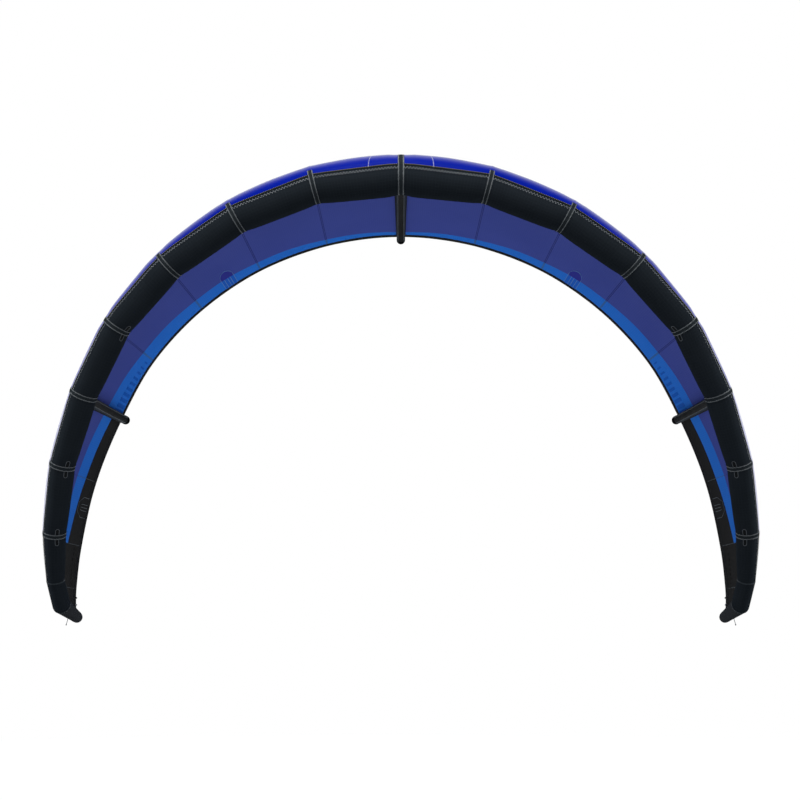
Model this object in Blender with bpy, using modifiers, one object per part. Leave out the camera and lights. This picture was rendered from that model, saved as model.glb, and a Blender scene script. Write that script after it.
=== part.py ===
# Inflatable kitesurfing kite: one long inflated leading edge tube bent into an arch, three
# inflated struts, and a cloth canopy sewn over them. Sizes are in metres.
# X runs along the span, Y backwards along the cloth, Z upwards.
# The origin is on the axis of the leading edge tube, in the middle of the kite.

import math

import bmesh
import bpy
from mathutils import Matrix, Vector

# Leading edge: straight tapered lengths of tube, sewn end to end at numbered seams.
# Seam 0 is in the middle of the kite, seam 5 carries a side strut, and the last length ends
# in a round tip. Droop turns a length down from level, and sweep turns it backwards.
mean_segment_length = 0.3357
segment_length_shares = (1.203, 1.162, 1.144, 1.12, 1.09, 1.09, 1.043, 0.727, 0.408, 1.013)
droop_deg = (6.4, 21.0, 34.9, 48.2, 62.3, 70.5, 80.5, 88.1, 100.0, 109.0)
sweep_deg = (2.0, 4.5, 7.5, 10.7, 15.5, 19.5, 21.0, 23.0, 26.0, 78.5)
tube_radius = 0.0975
tube_radius_shares = (1, 0.921, 0.875, 0.798, 0.72, 0.687, 0.631, 0.573, 0.44, 0.437, 0.285)
casing_wall = 0.0015
seam_gap = 0.0006
tube_sides = 24
tip_seam = 8
last_seam = 9

# Inner air bladder of the leading edge
bladder_wall = 0.0008
bladder_clearance = 0.0022
bladder_sides = 12

# Canopy: each seam has a chord, a pitch, the angle on the tube where the cloth starts
# (from straight ahead towards the outside) and the slope at which it leaves the tube.
centre_chord = 1.81
chord_shares = (1, 1.003, 0.972, 0.928, 0.86, 0.77, 0.638, 0.494, 0.37, 0.25)
chord_pitch_deg = (0, 0, 0, 0, 0.6, 0.7, 1.8, 3.4, 3.8, 8.5)
cloth_start_deg = (26, 27, 31, 42, 52, 58, 62, 66, 70, 75)
cloth_front_slopes = (0.24, 0.26, 0.27, 0.275, 0.28, 0.28, 0.3, 0.3, 0.26, 0.17)
cloth_thickness = 0.002
cloth_clearance = 0.0016
camber_front_share = 0.4
arch_blend_share = 0.28
wrap_steps = 4
chord_place_shares = (0.04, 0.1, 0.18, 0.28, 0.4, 0.54, 0.68, 0.82, 0.92, 1)
cloth_steps = 3

# Struts: inflated tubes under the canopy, thick in front and thin at the tail
strut_seams = {"centre": 0, "right": 5}
strut_front_radius = 0.037
side_strut_front_radius = 0.032
strut_tail_radius = 0.022
strut_wall = 0.0012
strut_clearance = 0.0028
strut_place_shares = (0.004, 0.06, 0.18, 0.32, 0.5, 0.74, 0.988)
strut_slope_share = 0.02
strut_sides = 14
strut_bladder_sides = 10
strut_bladder_start = 0.03

# Inflation hoses from the leading edge bladder to each strut bladder
hose_radius = 0.006
hose_bore_radius = 0.004
hose_clearance = 0.001
hose_end_gap = 0.0006
hose_spread = 0.13
hose_straight = 0.06
hose_reach = 0.2
hose_strut_run = 0.024
hose_slack = 0.018
hose_hole_length = 0.024
hose_points = 16

# Pinch clip on each hose: a frame under the hose and a lever across it
clip_width = 0.012
clip_bar = 0.003
clip_gap = 0.0005
clip_ear_gap = 0.0004
clip_lever_width = 0.006
clip_lever_thickness = 0.0025
clip_lever_root = 0.005
clip_lever_lip = 0.00375
clip_pin_radius = 0.001
clip_bore_radius = 0.0014
clip_barrel_radius = 0.0026
clip_thumb_reach = 0.009
clip_stand_off = 0.03

# Inflation valve on the back of the first right length, with a hinged cap
valve_place_share = 0.5
valve_bore_radius = 0.009
valve_neck_radius = 0.0125
valve_neck_inside = 0.012
valve_neck_height = 0.012
valve_flange_radius = 0.022
valve_flange_thickness = 0.002
valve_rim_radius = 0.015
valve_rim_height = 0.003
valve_hole_clearance = 0.001
valve_cap_gap = 0.0004
valve_cap_thickness = 0.003
valve_plug_depth = 0.0032
valve_plug_radius = 0.0082
valve_plug_tip_radius = 0.0062
valve_hinge_offset = 0.0195
valve_barrel_radius = 0.0024
valve_barrel_length = 0.008
valve_ear_thickness = 0.003
valve_pin_radius = 0.001
valve_pin_clearance = 0.0003
turned_steps = 24

# Webbing tabs where a bridle is tied, sewn along the tube across a seam
tab_seams = {"upper": 4, "middle": 6, "lower": 7}
tab_length = 0.088
tab_width = 0.022
tab_thickness = 0.0025
tab_clearance = 0.0006
tab_angle_deg = {"upper": -54, "middle": -31, "lower": -22}
tab_arc_steps = 6

# Short knotted cord under each wing tip, for a flying line
pigtail_radius = 0.0015
pigtail_knot_radius = 0.003
pigtail_place_share = 0.42
pigtail_exit_gap = 0.0004
pigtail_route = ((0, 0, 0), (0.0005, 0, -0.006), (0.0015, -0.0005, -0.013),
                 (0.004, -0.001, -0.021), (0.0065, -0.001, -0.029), (0.0085, -0.0015, -0.037))
pigtail_points = 12

# How finely round shapes are made
weld_distance = 0.00001
smooth_angle_deg = 40
hole_sides = 16
barrel_steps = 6
round_end_angles_deg = (35, 65)

# Colours: base colour, roughness, metallic; the cloth is black from a seam to the tip
black_cloth_seam = 6
casing_finish = ((0.016, 0.019, 0.023, 1), 0.6, 0)
bladder_finish = ((0.72, 0.74, 0.76, 1), 0.35, 0)
blue_cloth_finish = ((0.012, 0.022, 0.42, 1), 0.5, 0)
black_cloth_finish = ((0.012, 0.013, 0.015, 1), 0.55, 0)
strut_finish = ((0.014, 0.016, 0.019, 1), 0.6, 0)
hose_finish = ((0.02, 0.02, 0.022, 1), 0.4, 0)
clip_finish = ((0.55, 0.56, 0.58, 1), 0.45, 0)
lever_finish = ((0.03, 0.12, 0.5, 1), 0.45, 0)
valve_finish = ((0.03, 0.03, 0.035, 1), 0.4, 0)
cap_finish = ((0.03, 0.12, 0.5, 1), 0.4, 0)
webbing_finish = ((0.03, 0.033, 0.037, 1), 0.8, 0)
pigtail_finish = ((0.6, 0.6, 0.58, 1), 0.8, 0)

backwards = Vector((0, 1, 0))
mirror_x = Matrix.Scale(-1, 4, (1, 0, 0))


# Scene helpers

def clear_scene():
    for old in list(bpy.data.objects):
        bpy.data.objects.remove(old)
    for old in list(bpy.data.collections):
        bpy.data.collections.remove(old)


def add_collection(name):
    collection = bpy.data.collections.new(name)
    bpy.context.scene.collection.children.link(collection)
    return collection


def add_object(name, data, collection):
    thing = bpy.data.objects.new(name, data)
    collection.objects.link(thing)
    return thing


def paint(thing, finish):
    colour, roughness, metallic = finish
    material = bpy.data.materials.new(thing.name)
    material.use_nodes = True
    shader = material.node_tree.nodes["Principled BSDF"]
    shader.inputs["Base Color"].default_value = colour
    shader.inputs["Roughness"].default_value = roughness
    shader.inputs["Metallic"].default_value = metallic
    material.diffuse_color = colour
    thing.data.materials.clear()
    thing.data.materials.append(material)


def grid_mesh(name, rows, closed):
    """Skin over rows of points; closed rows join their last point to their first."""
    count = len(rows[0])
    points = [point for row in rows for point in row]
    faces = []
    for j in range(len(rows) - 1):
        for k in range(count if closed else count - 1):
            k_next = (k + 1) % count
            faces.append((j * count + k, j * count + k_next,
                          (j + 1) * count + k_next, (j + 1) * count + k))
    mesh = bpy.data.meshes.new(name)
    mesh.from_pydata(points, [], faces)
    return mesh


def close_ends(mesh, count, start, end):
    """Put a flat face on the first or the last ring of a tube."""
    shape = bmesh.new()
    shape.from_mesh(mesh)
    shape.verts.ensure_lookup_table()
    total = len(shape.verts)
    if start:
        shape.faces.new([shape.verts[k] for k in range(count)][::-1])
    if end:
        shape.faces.new([shape.verts[total - count + k] for k in range(count)])
    shape.to_mesh(mesh)
    shape.free()


def smooth_shade(thing, angle_deg):
    thing.data.shade_smooth()
    thing.data.set_sharp_from_angle(angle=math.radians(angle_deg))


def turn_outwards(mesh):
    shape = bmesh.new()
    shape.from_mesh(mesh)
    bmesh.ops.recalc_face_normals(shape, faces=shape.faces)
    shape.to_mesh(mesh)
    shape.free()


def add_wall(thing, thickness, offset):
    solidify = thing.modifiers.new("wall", "SOLIDIFY")
    solidify.thickness = thickness
    solidify.offset = offset
    solidify.use_even_offset = True


def add_boolean(thing, cutter, operation):
    boolean = thing.modifiers.new(operation.lower(), "BOOLEAN")
    boolean.operation = operation
    boolean.object = cutter
    boolean.solver = "EXACT"


def freeze(thing):
    """Replace an object's data by its evaluated mesh, with its modifiers applied."""
    bpy.context.view_layer.update()
    evaluated = thing.evaluated_get(bpy.context.evaluated_depsgraph_get())
    mesh = bpy.data.meshes.new_from_object(evaluated)
    mesh.name = thing.name
    thing.modifiers.clear()
    thing.data = mesh


def freeze_curve(curve_object, collection):
    """Turn a curve object into a mesh object with welded caps, in the same place."""
    bpy.context.view_layer.update()
    evaluated = curve_object.evaluated_get(bpy.context.evaluated_depsgraph_get())
    mesh = bpy.data.meshes.new_from_object(evaluated)
    shape = bmesh.new()
    shape.from_mesh(mesh)
    bmesh.ops.remove_doubles(shape, verts=shape.verts, dist=weld_distance)
    bmesh.ops.recalc_face_normals(shape, faces=shape.faces)
    shape.to_mesh(mesh)
    shape.free()
    name = curve_object.name
    place = curve_object.matrix_world.copy()
    bpy.data.objects.remove(curve_object)
    solid = add_object(name, mesh, collection)
    solid.matrix_world = place
    return solid


def mirrored(thing, name, finish):
    """Left-hand copy of a right-hand piece, with its origin mirrored too."""
    bpy.context.view_layer.update()
    evaluated = thing.evaluated_get(bpy.context.evaluated_depsgraph_get())
    mesh = bpy.data.meshes.new_from_object(evaluated)
    mesh.transform(mirror_x @ thing.matrix_world)
    mesh.flip_normals()
    origin = mirror_x @ thing.matrix_world.translation
    mesh.transform(Matrix.Translation(-origin))
    copy = add_object(name, mesh, parts)
    copy.location = origin
    paint(copy, finish)
    return copy


def add_cylinder(name, radius, depth, place, sides, collection):
    shape = bmesh.new()
    bmesh.ops.create_cone(shape, cap_ends=True, segments=sides, radius1=radius,
                          radius2=radius, depth=depth)
    mesh = bpy.data.meshes.new(name)
    shape.to_mesh(mesh)
    shape.free()
    thing = add_object(name, mesh, collection)
    thing.matrix_world = place
    return thing


def add_box(name, low, high, place, collection):
    shape = bmesh.new()
    bmesh.ops.create_cube(shape, size=1)
    mesh = bpy.data.meshes.new(name)
    shape.to_mesh(mesh)
    shape.free()
    size = [b - a for a, b in zip(low, high)]
    middle = [(a + b) / 2 for a, b in zip(low, high)]
    mesh.transform(Matrix.Translation(middle) @ Matrix.Diagonal((*size, 1)))
    thing = add_object(name, mesh, collection)
    thing.matrix_world = place
    return thing


def add_plate(name, outline, thickness, place, collection):
    """Flat outline in the local XY plane, thickened equally to both sides."""
    curve = bpy.data.curves.new(name, "CURVE")
    curve.dimensions = "2D"
    curve.fill_mode = "BOTH"
    curve.extrude = thickness / 2
    spline = curve.splines.new("POLY")
    spline.points.add(len(outline) - 1)
    for target, (x, y) in zip(spline.points, outline):
        target.co = (x, y, 0, 1)
    spline.use_cyclic_u = True
    plate = add_object(name, curve, collection)
    plate.matrix_world = place
    return freeze_curve(plate, collection)


def add_turned(name, profile, place, collection, closed):
    """Profile of (radius, height) points turned round the local Z axis."""
    mesh = bpy.data.meshes.new(name)
    points = [(r, 0, z) for r, z in profile]
    edges = [(k, k + 1) for k in range(len(points) - 1)]
    if closed:
        edges.append((len(points) - 1, 0))
    mesh.from_pydata(points, edges, [])
    thing = add_object(name, mesh, collection)
    thing.matrix_world = place
    screw = thing.modifiers.new("turned", "SCREW")
    screw.steps = turned_steps
    screw.render_steps = turned_steps
    screw.use_merge_vertices = True
    screw.merge_threshold = weld_distance
    screw.use_smooth_shade = True
    freeze(thing)
    turn_outwards(thing.data)
    return thing


def add_cord(name, points, radii, radius, place, collection):
    curve = bpy.data.curves.new(name, "CURVE")
    curve.dimensions = "3D"
    curve.bevel_depth = radius
    curve.bevel_resolution = 2
    curve.use_fill_caps = True
    spline = curve.splines.new("POLY")
    spline.points.add(len(points) - 1)
    for target, point, share in zip(spline.points, points, radii):
        target.co = (*point, 1)
        target.radius = share
    cord = add_object(name, curve, collection)
    cord.matrix_world = place
    return cord


def frame_matrix(x_axis, y_axis, z_axis, origin):
    turn = Matrix((x_axis, y_axis, z_axis)).transposed().to_4x4()
    return Matrix.Translation(origin) @ turn


# Shape of the arch

def smooth_between(before, first, second, after, w):
    """Catmull-Rom value between the two middle ones."""
    return (first * 2 + (second - before) * w
            + (before * 2 - first * 5 + second * 4 - after) * w * w
            + (first * 3 - before - second * 3 + after) * w * w * w) / 2


def smooth_step(w):
    w = min(max(w, 0), 1)
    return w * w * (3 - 2 * w)


def tube_directions():
    directions = []
    for droop, sweep in zip(droop_deg, sweep_deg):
        flat = math.cos(math.radians(sweep))
        directions.append(Vector((flat * math.cos(math.radians(droop)),
                                  math.sin(math.radians(sweep)),
                                  -flat * math.sin(math.radians(droop)))))
    return directions


def tube_points():
    points = [Vector((0, 0, 0))]
    for share, direction in zip(segment_length_shares, directions):
        points.append(points[-1] + direction * mean_segment_length * share)
    return points


def seam_tangent(i):
    if i == 0:
        return Vector((1, 0, 0))
    if i == len(directions):
        return directions[-1].copy()
    return (directions[i - 1] + directions[i]).normalized()


def seam_normal(i):
    return seam_tangent(i).cross(backwards).normalized()


def seam_radius(i):
    return tube_radius * tube_radius_shares[i]


def ring_point(i, angle, extra):
    """Point on the mitred ring at a seam; the angle runs from straight ahead outwards."""
    if i < 0:
        return mirror_x @ ring_point(-i, angle, extra)
    tangent = seam_tangent(i)
    normal = seam_normal(i)
    front = tangent.cross(normal)
    arm = front * math.cos(angle) + normal * math.sin(angle)
    slant = arm.dot(directions[min(i, len(directions) - 1)])
    if i == len(directions):
        slant = 0
    return axis_points[i] + arm * ((seam_radius(i) + extra) / math.sqrt(1 - slant * slant))


def ring(i, extra, sides):
    return [ring_point(i, math.tau * k / sides, extra) for k in range(sides)]


def split_place(u):
    i = min(int(u), last_seam - 1)
    return i, u - i


def straight_axis(u):
    i, w = split_place(u)
    return axis_points[i].lerp(axis_points[i + 1], w)


def neighbours(values, i, mirror):
    before = mirror if i == 0 else values[i - 1]
    if i + 2 <= last_seam:
        after = values[i + 2]
    else:
        after = values[i + 1] * 2 - values[i]
    return before, values[i], values[i + 1], after


def smooth_axis(u):
    i, w = split_place(u)
    return smooth_between(*neighbours(axis_points, i, mirror_x @ axis_points[1]), w)


def smooth_value(values, u):
    i, w = split_place(u)
    return smooth_between(*neighbours(values, i, values[1]), w)


def linear_value(values, u):
    i, w = split_place(u)
    return values[i] * (1 - w) + values[i + 1] * w


def arch_normal(u):
    i, w = split_place(u)
    return seam_normal(i).lerp(seam_normal(i + 1), w).normalized()


def wrap_point(u, angle, extra):
    """Point on the straight tube between two seams, at the same angle on both rings."""
    i, w = split_place(u)
    return ring_point(i, angle, extra).lerp(ring_point(i + 1, angle, extra), w)


def cloth_chord(u):
    return centre_chord * smooth_value(chord_shares, u)


def cloth_rise(u, x):
    """Height above the top of the tube at a share of the chord, for the canopy's camber."""
    radius = tube_radius * linear_value(tube_radius_shares, u)
    slope = linear_value(cloth_front_slopes, u)
    curve = x * (1 - x) * (1 - camber_front_share + camber_front_share * (1 - x))
    return slope * cloth_chord(u) * curve - radius * x


def cloth_point(u, x):
    """Underside of the canopy behind the tube, at a share of the chord."""
    if u < 0:
        return mirror_x @ cloth_point(-u, x)
    normal = arch_normal(u)
    along = normal.cross(backwards) * -1
    drop = cloth_chord(u) * x * math.tan(math.radians(linear_value(chord_pitch_deg, u)))
    rounding = (smooth_axis(u) - straight_axis(u)) * smooth_step(x / arch_blend_share)
    return (wrap_point(u, math.pi / 2, cloth_clearance) + rounding
            + normal * cloth_rise(u, x) + backwards * cloth_chord(u) * x + along * drop)


def cloth_front_point(u, step):
    """Point on the part of the canopy that is wrapped round the tube."""
    if u < 0:
        return mirror_x @ cloth_front_point(-u, step)
    start = math.radians(linear_value(cloth_start_deg, u))
    angle = start + (math.pi / 2 - start) * step / wrap_steps
    return wrap_point(u, angle, cloth_clearance)


# Pieces

def add_casing(name, seams, closed_tip):
    """Casing cloth of the tube over a run of seams, open where the next length joins."""
    first, last = seams[0], seams[-1]
    rows = []
    for i in seams:
        row = ring(i, 0, tube_sides)
        if i == first:
            row = [p + directions[i] * seam_gap / 2 for p in row]
        elif i == last and not closed_tip:
            row = [p - directions[i - 1] * seam_gap / 2 for p in row]
        rows.append(row)
    if closed_tip:
        rows += round_end(last, 0, tube_sides)
    mesh = grid_mesh(name, rows, True)
    if closed_tip:
        close_ends(mesh, tube_sides, False, True)
    turn_outwards(mesh)
    casing = add_object(name, mesh, parts)
    add_wall(casing, casing_wall, -1)
    smooth_shade(casing, smooth_angle_deg)
    return casing


def round_end(i, extra, sides):
    """Rings that close the tip of the tube in a half round."""
    radius = seam_radius(i) + extra
    rows = []
    for angle_deg in round_end_angles_deg:
        angle = math.radians(angle_deg)
        centre = axis_points[i] + directions[-1] * radius * math.sin(angle)
        rows.append([centre + (p - axis_points[i]) * math.cos(angle)
                     for p in ring(i, extra, sides)])
    return rows


def add_canopy_panel(name, first, last):
    """Closed thin panel of cloth between two seams, wrapped over the tube in front."""
    places = []
    for i in range(first, last):
        places += [i + k / cloth_steps for k in range(cloth_steps)]
    places.append(last)
    margin = seam_gap / 2 / (mean_segment_length * segment_length_shares[abs(first)])
    places[0] += margin
    places[-1] -= margin
    rows = []
    for u in places:
        row = [cloth_front_point(u, step) for step in range(wrap_steps + 1)]
        row += [cloth_point(u, x) for x in chord_place_shares]
        rows.append(row)
    mesh = grid_mesh(name, rows, False)
    middle = mesh.polygons[len(mesh.polygons) // 2]
    if middle.normal.dot(arch_normal(abs((first + last) / 2))) < 0 and first >= 0:
        mesh.flip_normals()
    if first < 0 and middle.normal.z < 0:
        mesh.flip_normals()
    panel = add_object(name, mesh, parts)
    add_wall(panel, cloth_thickness, 1)
    smooth_shade(panel, smooth_angle_deg)
    return panel


def strut_radius(i, x):
    front = strut_front_radius if i == 0 else side_strut_front_radius
    return front + (strut_tail_radius - front) * x


def strut_centre(i, x):
    return cloth_point(i, x) - seam_normal(i) * (strut_clearance + strut_radius(i, x))


def strut_rings(i, places, inset, sides):
    """Rings along a strut, with the tail closed in a half round."""
    side = seam_normal(i).cross(backwards) * -1
    rows = []
    for x in places:
        ahead = strut_centre(i, x + strut_slope_share)
        behind = strut_centre(i, x - strut_slope_share)
        along = (ahead - behind).normalized()
        across = side.cross(along)
        rows.append(circle(strut_centre(i, x), side, across, strut_radius(i, x) - inset,
                           sides))
    tail = places[-1]
    radius = strut_radius(i, tail) - inset
    for angle_deg in round_end_angles_deg:
        angle = math.radians(angle_deg)
        centre = strut_centre(i, tail) + along * radius * math.sin(angle)
        rows.append(circle(centre, side, across, radius * math.cos(angle), sides))
    return rows


def circle(centre, first_axis, second_axis, radius, sides):
    return [centre + first_axis * radius * math.cos(math.tau * k / sides)
            + second_axis * radius * math.sin(math.tau * k / sides) for k in range(sides)]


def add_tube_cutter(name, i):
    """Solid length of the leading edge tube round a seam, grown by the cloth clearance."""
    rows = [ring(k, cloth_clearance, tube_sides) for k in (i - 1, i, i + 1)]
    mesh = grid_mesh(name, rows, True)
    close_ends(mesh, tube_sides, True, True)
    turn_outwards(mesh)
    return add_object(name, mesh, cutters)


def add_strut(side, i):
    rows = strut_rings(i, strut_place_shares, 0, strut_sides)
    mesh = grid_mesh("strut_casing_" + side, rows, True)
    close_ends(mesh, strut_sides, False, True)
    turn_outwards(mesh)
    casing = add_object("strut_casing_" + side, mesh, parts)
    add_wall(casing, strut_wall, -1)
    add_boolean(casing, add_tube_cutter("tube_cutter_" + side, i), "DIFFERENCE")
    add_boolean(casing, hose_hole(side, i, False, hose_radius + hose_clearance), "DIFFERENCE")
    freeze(casing)
    smooth_shade(casing, smooth_angle_deg)

    start = (seam_radius(i) + strut_bladder_start) / cloth_chord(i)
    inset = strut_wall + bladder_clearance
    places = [start] + [x for x in strut_place_shares if x > start + strut_slope_share]
    rows = strut_rings(i, places, inset, strut_bladder_sides)
    mesh = grid_mesh("strut_bladder_" + side, rows, True)
    close_ends(mesh, strut_bladder_sides, True, True)
    turn_outwards(mesh)
    bladder = add_object("strut_bladder_" + side, mesh, parts)
    add_wall(bladder, bladder_wall, -1)
    add_boolean(bladder, hose_hole(side, i, False, hose_bore_radius), "DIFFERENCE")
    freeze(bladder)
    smooth_shade(bladder, smooth_angle_deg)
    return casing, bladder


def hose_sign(i):
    """The centre strut's hose is on its right, a side strut's on its inner side."""
    return 1 if i == 0 else -1


def hose_place(i):
    """Place along the tube, in seams, of the middle of the hose's straight run."""
    run = i if i == 0 else i - 1
    return i + hose_sign(i) * hose_spread / (mean_segment_length
                                            * segment_length_shares[run])


def hose_ends(i):
    """Start on the tube's back, end on the strut's side, and the directions there."""
    u = hose_place(i)
    run, _ = split_place(u)
    side = arch_normal(i).cross(backwards) * -hose_sign(i)
    slant = math.radians(sweep_deg[run])
    radius = tube_radius * linear_value(tube_radius_shares, u)
    inner = (radius - casing_wall - bladder_clearance) / math.cos(slant)
    depth = inner + hose_radius * math.tan(slant) + hose_end_gap
    start = straight_axis(u) + backwards * depth
    x = (hose_reach + seam_radius(i) - tube_radius) / cloth_chord(i)
    reach = strut_radius(i, x) - strut_wall - bladder_clearance + hose_end_gap
    end = strut_centre(i, x) + side * reach
    return start, end, side, radius / math.cos(slant) - depth


def hose_hole(side_name, i, at_tube, radius):
    """Cutter for the hole that a hose goes through, in a casing or a bladder."""
    start, end, side, _ = hose_ends(i)
    if at_tube:
        origin, direction = start, backwards
    else:
        origin, direction = end, side
    turn = direction.to_track_quat("Z", "X").to_matrix().to_4x4()
    name = "hose_hole_" + side_name + ("_tube_" if at_tube else "_strut_")
    kind = "casing" if radius > hose_radius else "bladder"
    place = Matrix.Translation(origin) @ turn
    return add_cylinder(name + kind, radius, hose_hole_length, place, hole_sides, cutters)


def hose_line(i):
    start, end, side, cover = hose_ends(i)
    past_clip = start + backwards * (cover + clip_stand_off + clip_width)
    bend = start + backwards * (cover + hose_straight)
    near = end + side * hose_strut_run
    middle = bend.lerp(near, 0.5) + backwards * hose_slack
    corners = [start, past_clip, bend, middle, near, end]
    ghosts = [start * 2 - corners[1]] + corners + [end * 2 - near]
    points = []
    per_span = hose_points // (len(corners) - 1)
    for k in range(len(corners) - 1):
        for step in range(per_span):
            points.append(smooth_between(*ghosts[k:k + 4], step / per_span))
    points.append(end)
    return points


def add_hose(side, i):
    points = hose_line(i)
    return add_cord("strut_hose_" + side, points, [1] * len(points), hose_radius,
                    Matrix.Identity(4), parts)


def clip_matrix(i):
    """Clip frame: X across the hose, Y along it, Z towards the inside of the kite."""
    start, _, _, cover = hose_ends(i)
    inwards = arch_normal(hose_place(i)) * -1
    across = backwards.cross(inwards)
    origin = start + backwards * (cover + clip_stand_off)
    return frame_matrix(across, backwards, inwards, origin)


def clip_sizes():
    half = hose_radius + clip_gap
    hinge_x = half + clip_bar + clip_barrel_radius
    hinge_z = half + clip_barrel_radius
    return half, hinge_x, hinge_z


def upright(place):
    """Turn a plate's plane from XY to XZ of its frame."""
    return place @ Matrix.Rotation(math.pi / 2, 4, "X")


def add_clip(side, i):
    """U-shaped frame under the hose with two ears that hold the lever's pin."""
    half, hinge_x, hinge_z = clip_sizes()
    place = clip_matrix(i)
    top = hinge_z + clip_barrel_radius
    ear_out = hinge_x + clip_barrel_radius
    base = half + clip_bar
    outline = [(-base, -base), (ear_out, -base), (ear_out, top), (half, top), (half, -half),
               (-half, -half), (-half, half), (-base, half)]
    frame = add_plate("clip_frame_" + side, outline, clip_width, upright(place), parts)
    slot_half = clip_lever_width / 2 + clip_ear_gap
    slot = add_box("clip_slot_" + side,
                   (0, -slot_half, hinge_z - clip_barrel_radius - clip_gap),
                   (ear_out + clip_bar, slot_half, top + clip_bar), place, cutters)
    add_boolean(frame, slot, "DIFFERENCE")
    hinge = place @ Matrix.Translation((hinge_x, 0, hinge_z))
    across = hinge @ Matrix.Rotation(math.pi / 2, 4, "X")
    pin = add_cylinder("clip_pin_" + side, clip_pin_radius, clip_width - clip_gap, across,
                       hole_sides, cutters)
    add_boolean(frame, pin, "UNION")
    freeze(frame)

    arm_low = clip_gap - clip_barrel_radius
    far = -hinge_x - base - clip_thumb_reach
    outline = [(far, arm_low), (0, arm_low)]
    for k in range(1, barrel_steps):
        angle = math.pi * (k / barrel_steps - 0.5)
        outline.append((clip_barrel_radius * math.cos(angle),
                        clip_barrel_radius * math.sin(angle)))
    outline += [(0, arm_low + clip_lever_root),
                (-clip_barrel_radius, arm_low + clip_lever_thickness),
                (far + clip_barrel_radius, arm_low + clip_lever_thickness),
                (far, arm_low + clip_lever_lip)]
    lever = add_plate("clip_lever_" + side, outline, clip_lever_width, upright(hinge), parts)
    bore = add_cylinder("clip_bore_" + side, clip_bore_radius, clip_width, across,
                        hole_sides, cutters)
    add_boolean(lever, bore, "DIFFERENCE")
    freeze(lever)
    return frame, lever


def valve_matrix():
    """Valve frame on the back of the first right length: Z backwards, X up the kite."""
    centre = straight_axis(valve_place_share)
    radius = tube_radius * linear_value(tube_radius_shares, valve_place_share)
    up = Vector((0, 0, 1))
    return frame_matrix(up, up.cross(backwards) * -1, backwards, centre + backwards * radius)


def valve_hole(name):
    depth = (valve_neck_inside + valve_neck_height) * 2
    return add_cylinder(name, valve_neck_radius + valve_hole_clearance, depth, valve_matrix(),
                        turned_steps, cutters)


def add_valve():
    """Turned valve body with two ears, and its cap on a pin between them."""
    place = valve_matrix()
    base = cloth_clearance
    rim_low = valve_neck_height - valve_rim_height
    profile = [(valve_rim_radius, valve_neck_height), (valve_rim_radius, rim_low),
               (valve_neck_radius, rim_low), (valve_neck_radius, base + valve_flange_thickness),
               (valve_flange_radius, base + valve_flange_thickness),
               (valve_flange_radius, base), (valve_neck_radius, base),
               (valve_neck_radius, -valve_neck_inside), (valve_bore_radius, -valve_neck_inside),
               (valve_bore_radius, valve_neck_height)]
    body = add_turned("inflation_valve_body", profile, place, parts, True)
    hinge_z = valve_neck_height + valve_cap_gap + valve_cap_thickness / 2
    hinge = place @ Matrix.Translation((valve_hinge_offset, 0, hinge_z))
    across = hinge @ Matrix.Rotation(math.pi / 2, 4, "X")
    ear_low = valve_barrel_length / 2 + valve_cap_gap
    ear_high = ear_low + valve_ear_thickness
    inner = valve_rim_radius * math.cos(math.asin(ear_high / valve_rim_radius))
    for word, low, high in (("near", -ear_high, -ear_low), ("far", ear_low, ear_high)):
        ear = add_box("valve_ear_" + word, (inner - valve_ear_thickness / 2, low, rim_low),
                      (valve_hinge_offset + valve_barrel_radius, high,
                       hinge_z + valve_barrel_radius), place, cutters)
        gap_box = add_box("valve_ear_room_" + word,
                          (0, low - valve_cap_gap, valve_neck_height),
                          (valve_hinge_offset - valve_barrel_radius - valve_cap_gap,
                           high + valve_cap_gap, hinge_z + valve_rim_radius),
                          place, cutters)
        add_boolean(ear, gap_box, "DIFFERENCE")
        add_boolean(body, ear, "UNION")
    pin = add_cylinder("valve_pin", valve_pin_radius, ear_high * 2 - valve_cap_gap, across,
                       hole_sides, cutters)
    add_boolean(body, pin, "UNION")
    freeze(body)
    smooth_shade(body, smooth_angle_deg)

    low = valve_neck_height + valve_cap_gap
    top = low + valve_cap_thickness
    profile = [(0, top), (valve_rim_radius, top), (valve_rim_radius, low),
               (valve_plug_radius, low), (valve_plug_tip_radius, low - valve_plug_depth),
               (0, low - valve_plug_depth)]
    cap = add_turned("inflation_valve_cap", profile, place, parts, False)
    arm = add_box("valve_cap_arm",
                  (valve_plug_radius, -valve_barrel_length / 2 + valve_cap_gap, low),
                  (valve_hinge_offset, valve_barrel_length / 2 - valve_cap_gap, top),
                  place, cutters)
    barrel = add_cylinder("valve_cap_barrel", valve_barrel_radius, valve_barrel_length, across,
                          hole_sides, cutters)
    bore = add_cylinder("valve_cap_bore", valve_pin_radius + valve_pin_clearance,
                        valve_rim_radius * 2, across, hole_sides, cutters)
    add_boolean(cap, arm, "UNION")
    add_boolean(cap, barrel, "UNION")
    add_boolean(cap, bore, "DIFFERENCE")
    freeze(cap)
    cap.data.transform(hinge.inverted() @ place)
    cap.matrix_world = hinge
    smooth_shade(cap, smooth_angle_deg)
    return body, cap


def tab_matrix(place_name):
    """Tab frame: X along the tube, Z out of it, at the height that clears the bend."""
    i = tab_seams[place_name]
    angle = math.radians(tab_angle_deg[place_name])
    tangent = seam_tangent(i)
    normal = seam_normal(i)
    out = tangent.cross(normal) * math.cos(angle) + normal * math.sin(angle)
    bends = [abs(out.dot(directions[k]) / tangent.dot(directions[k])) for k in (i - 1, i)]
    taper = seam_radius(i - 1) - seam_radius(i)
    lift = tab_length / 2 * max(bends) + taper * tab_length / (
        mean_segment_length * segment_length_shares[i - 1]) / 2
    height = seam_radius(i) + lift + tab_clearance + tab_thickness / 2
    return frame_matrix(tangent, out.cross(tangent), out, axis_points[i] + out * height)


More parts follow.
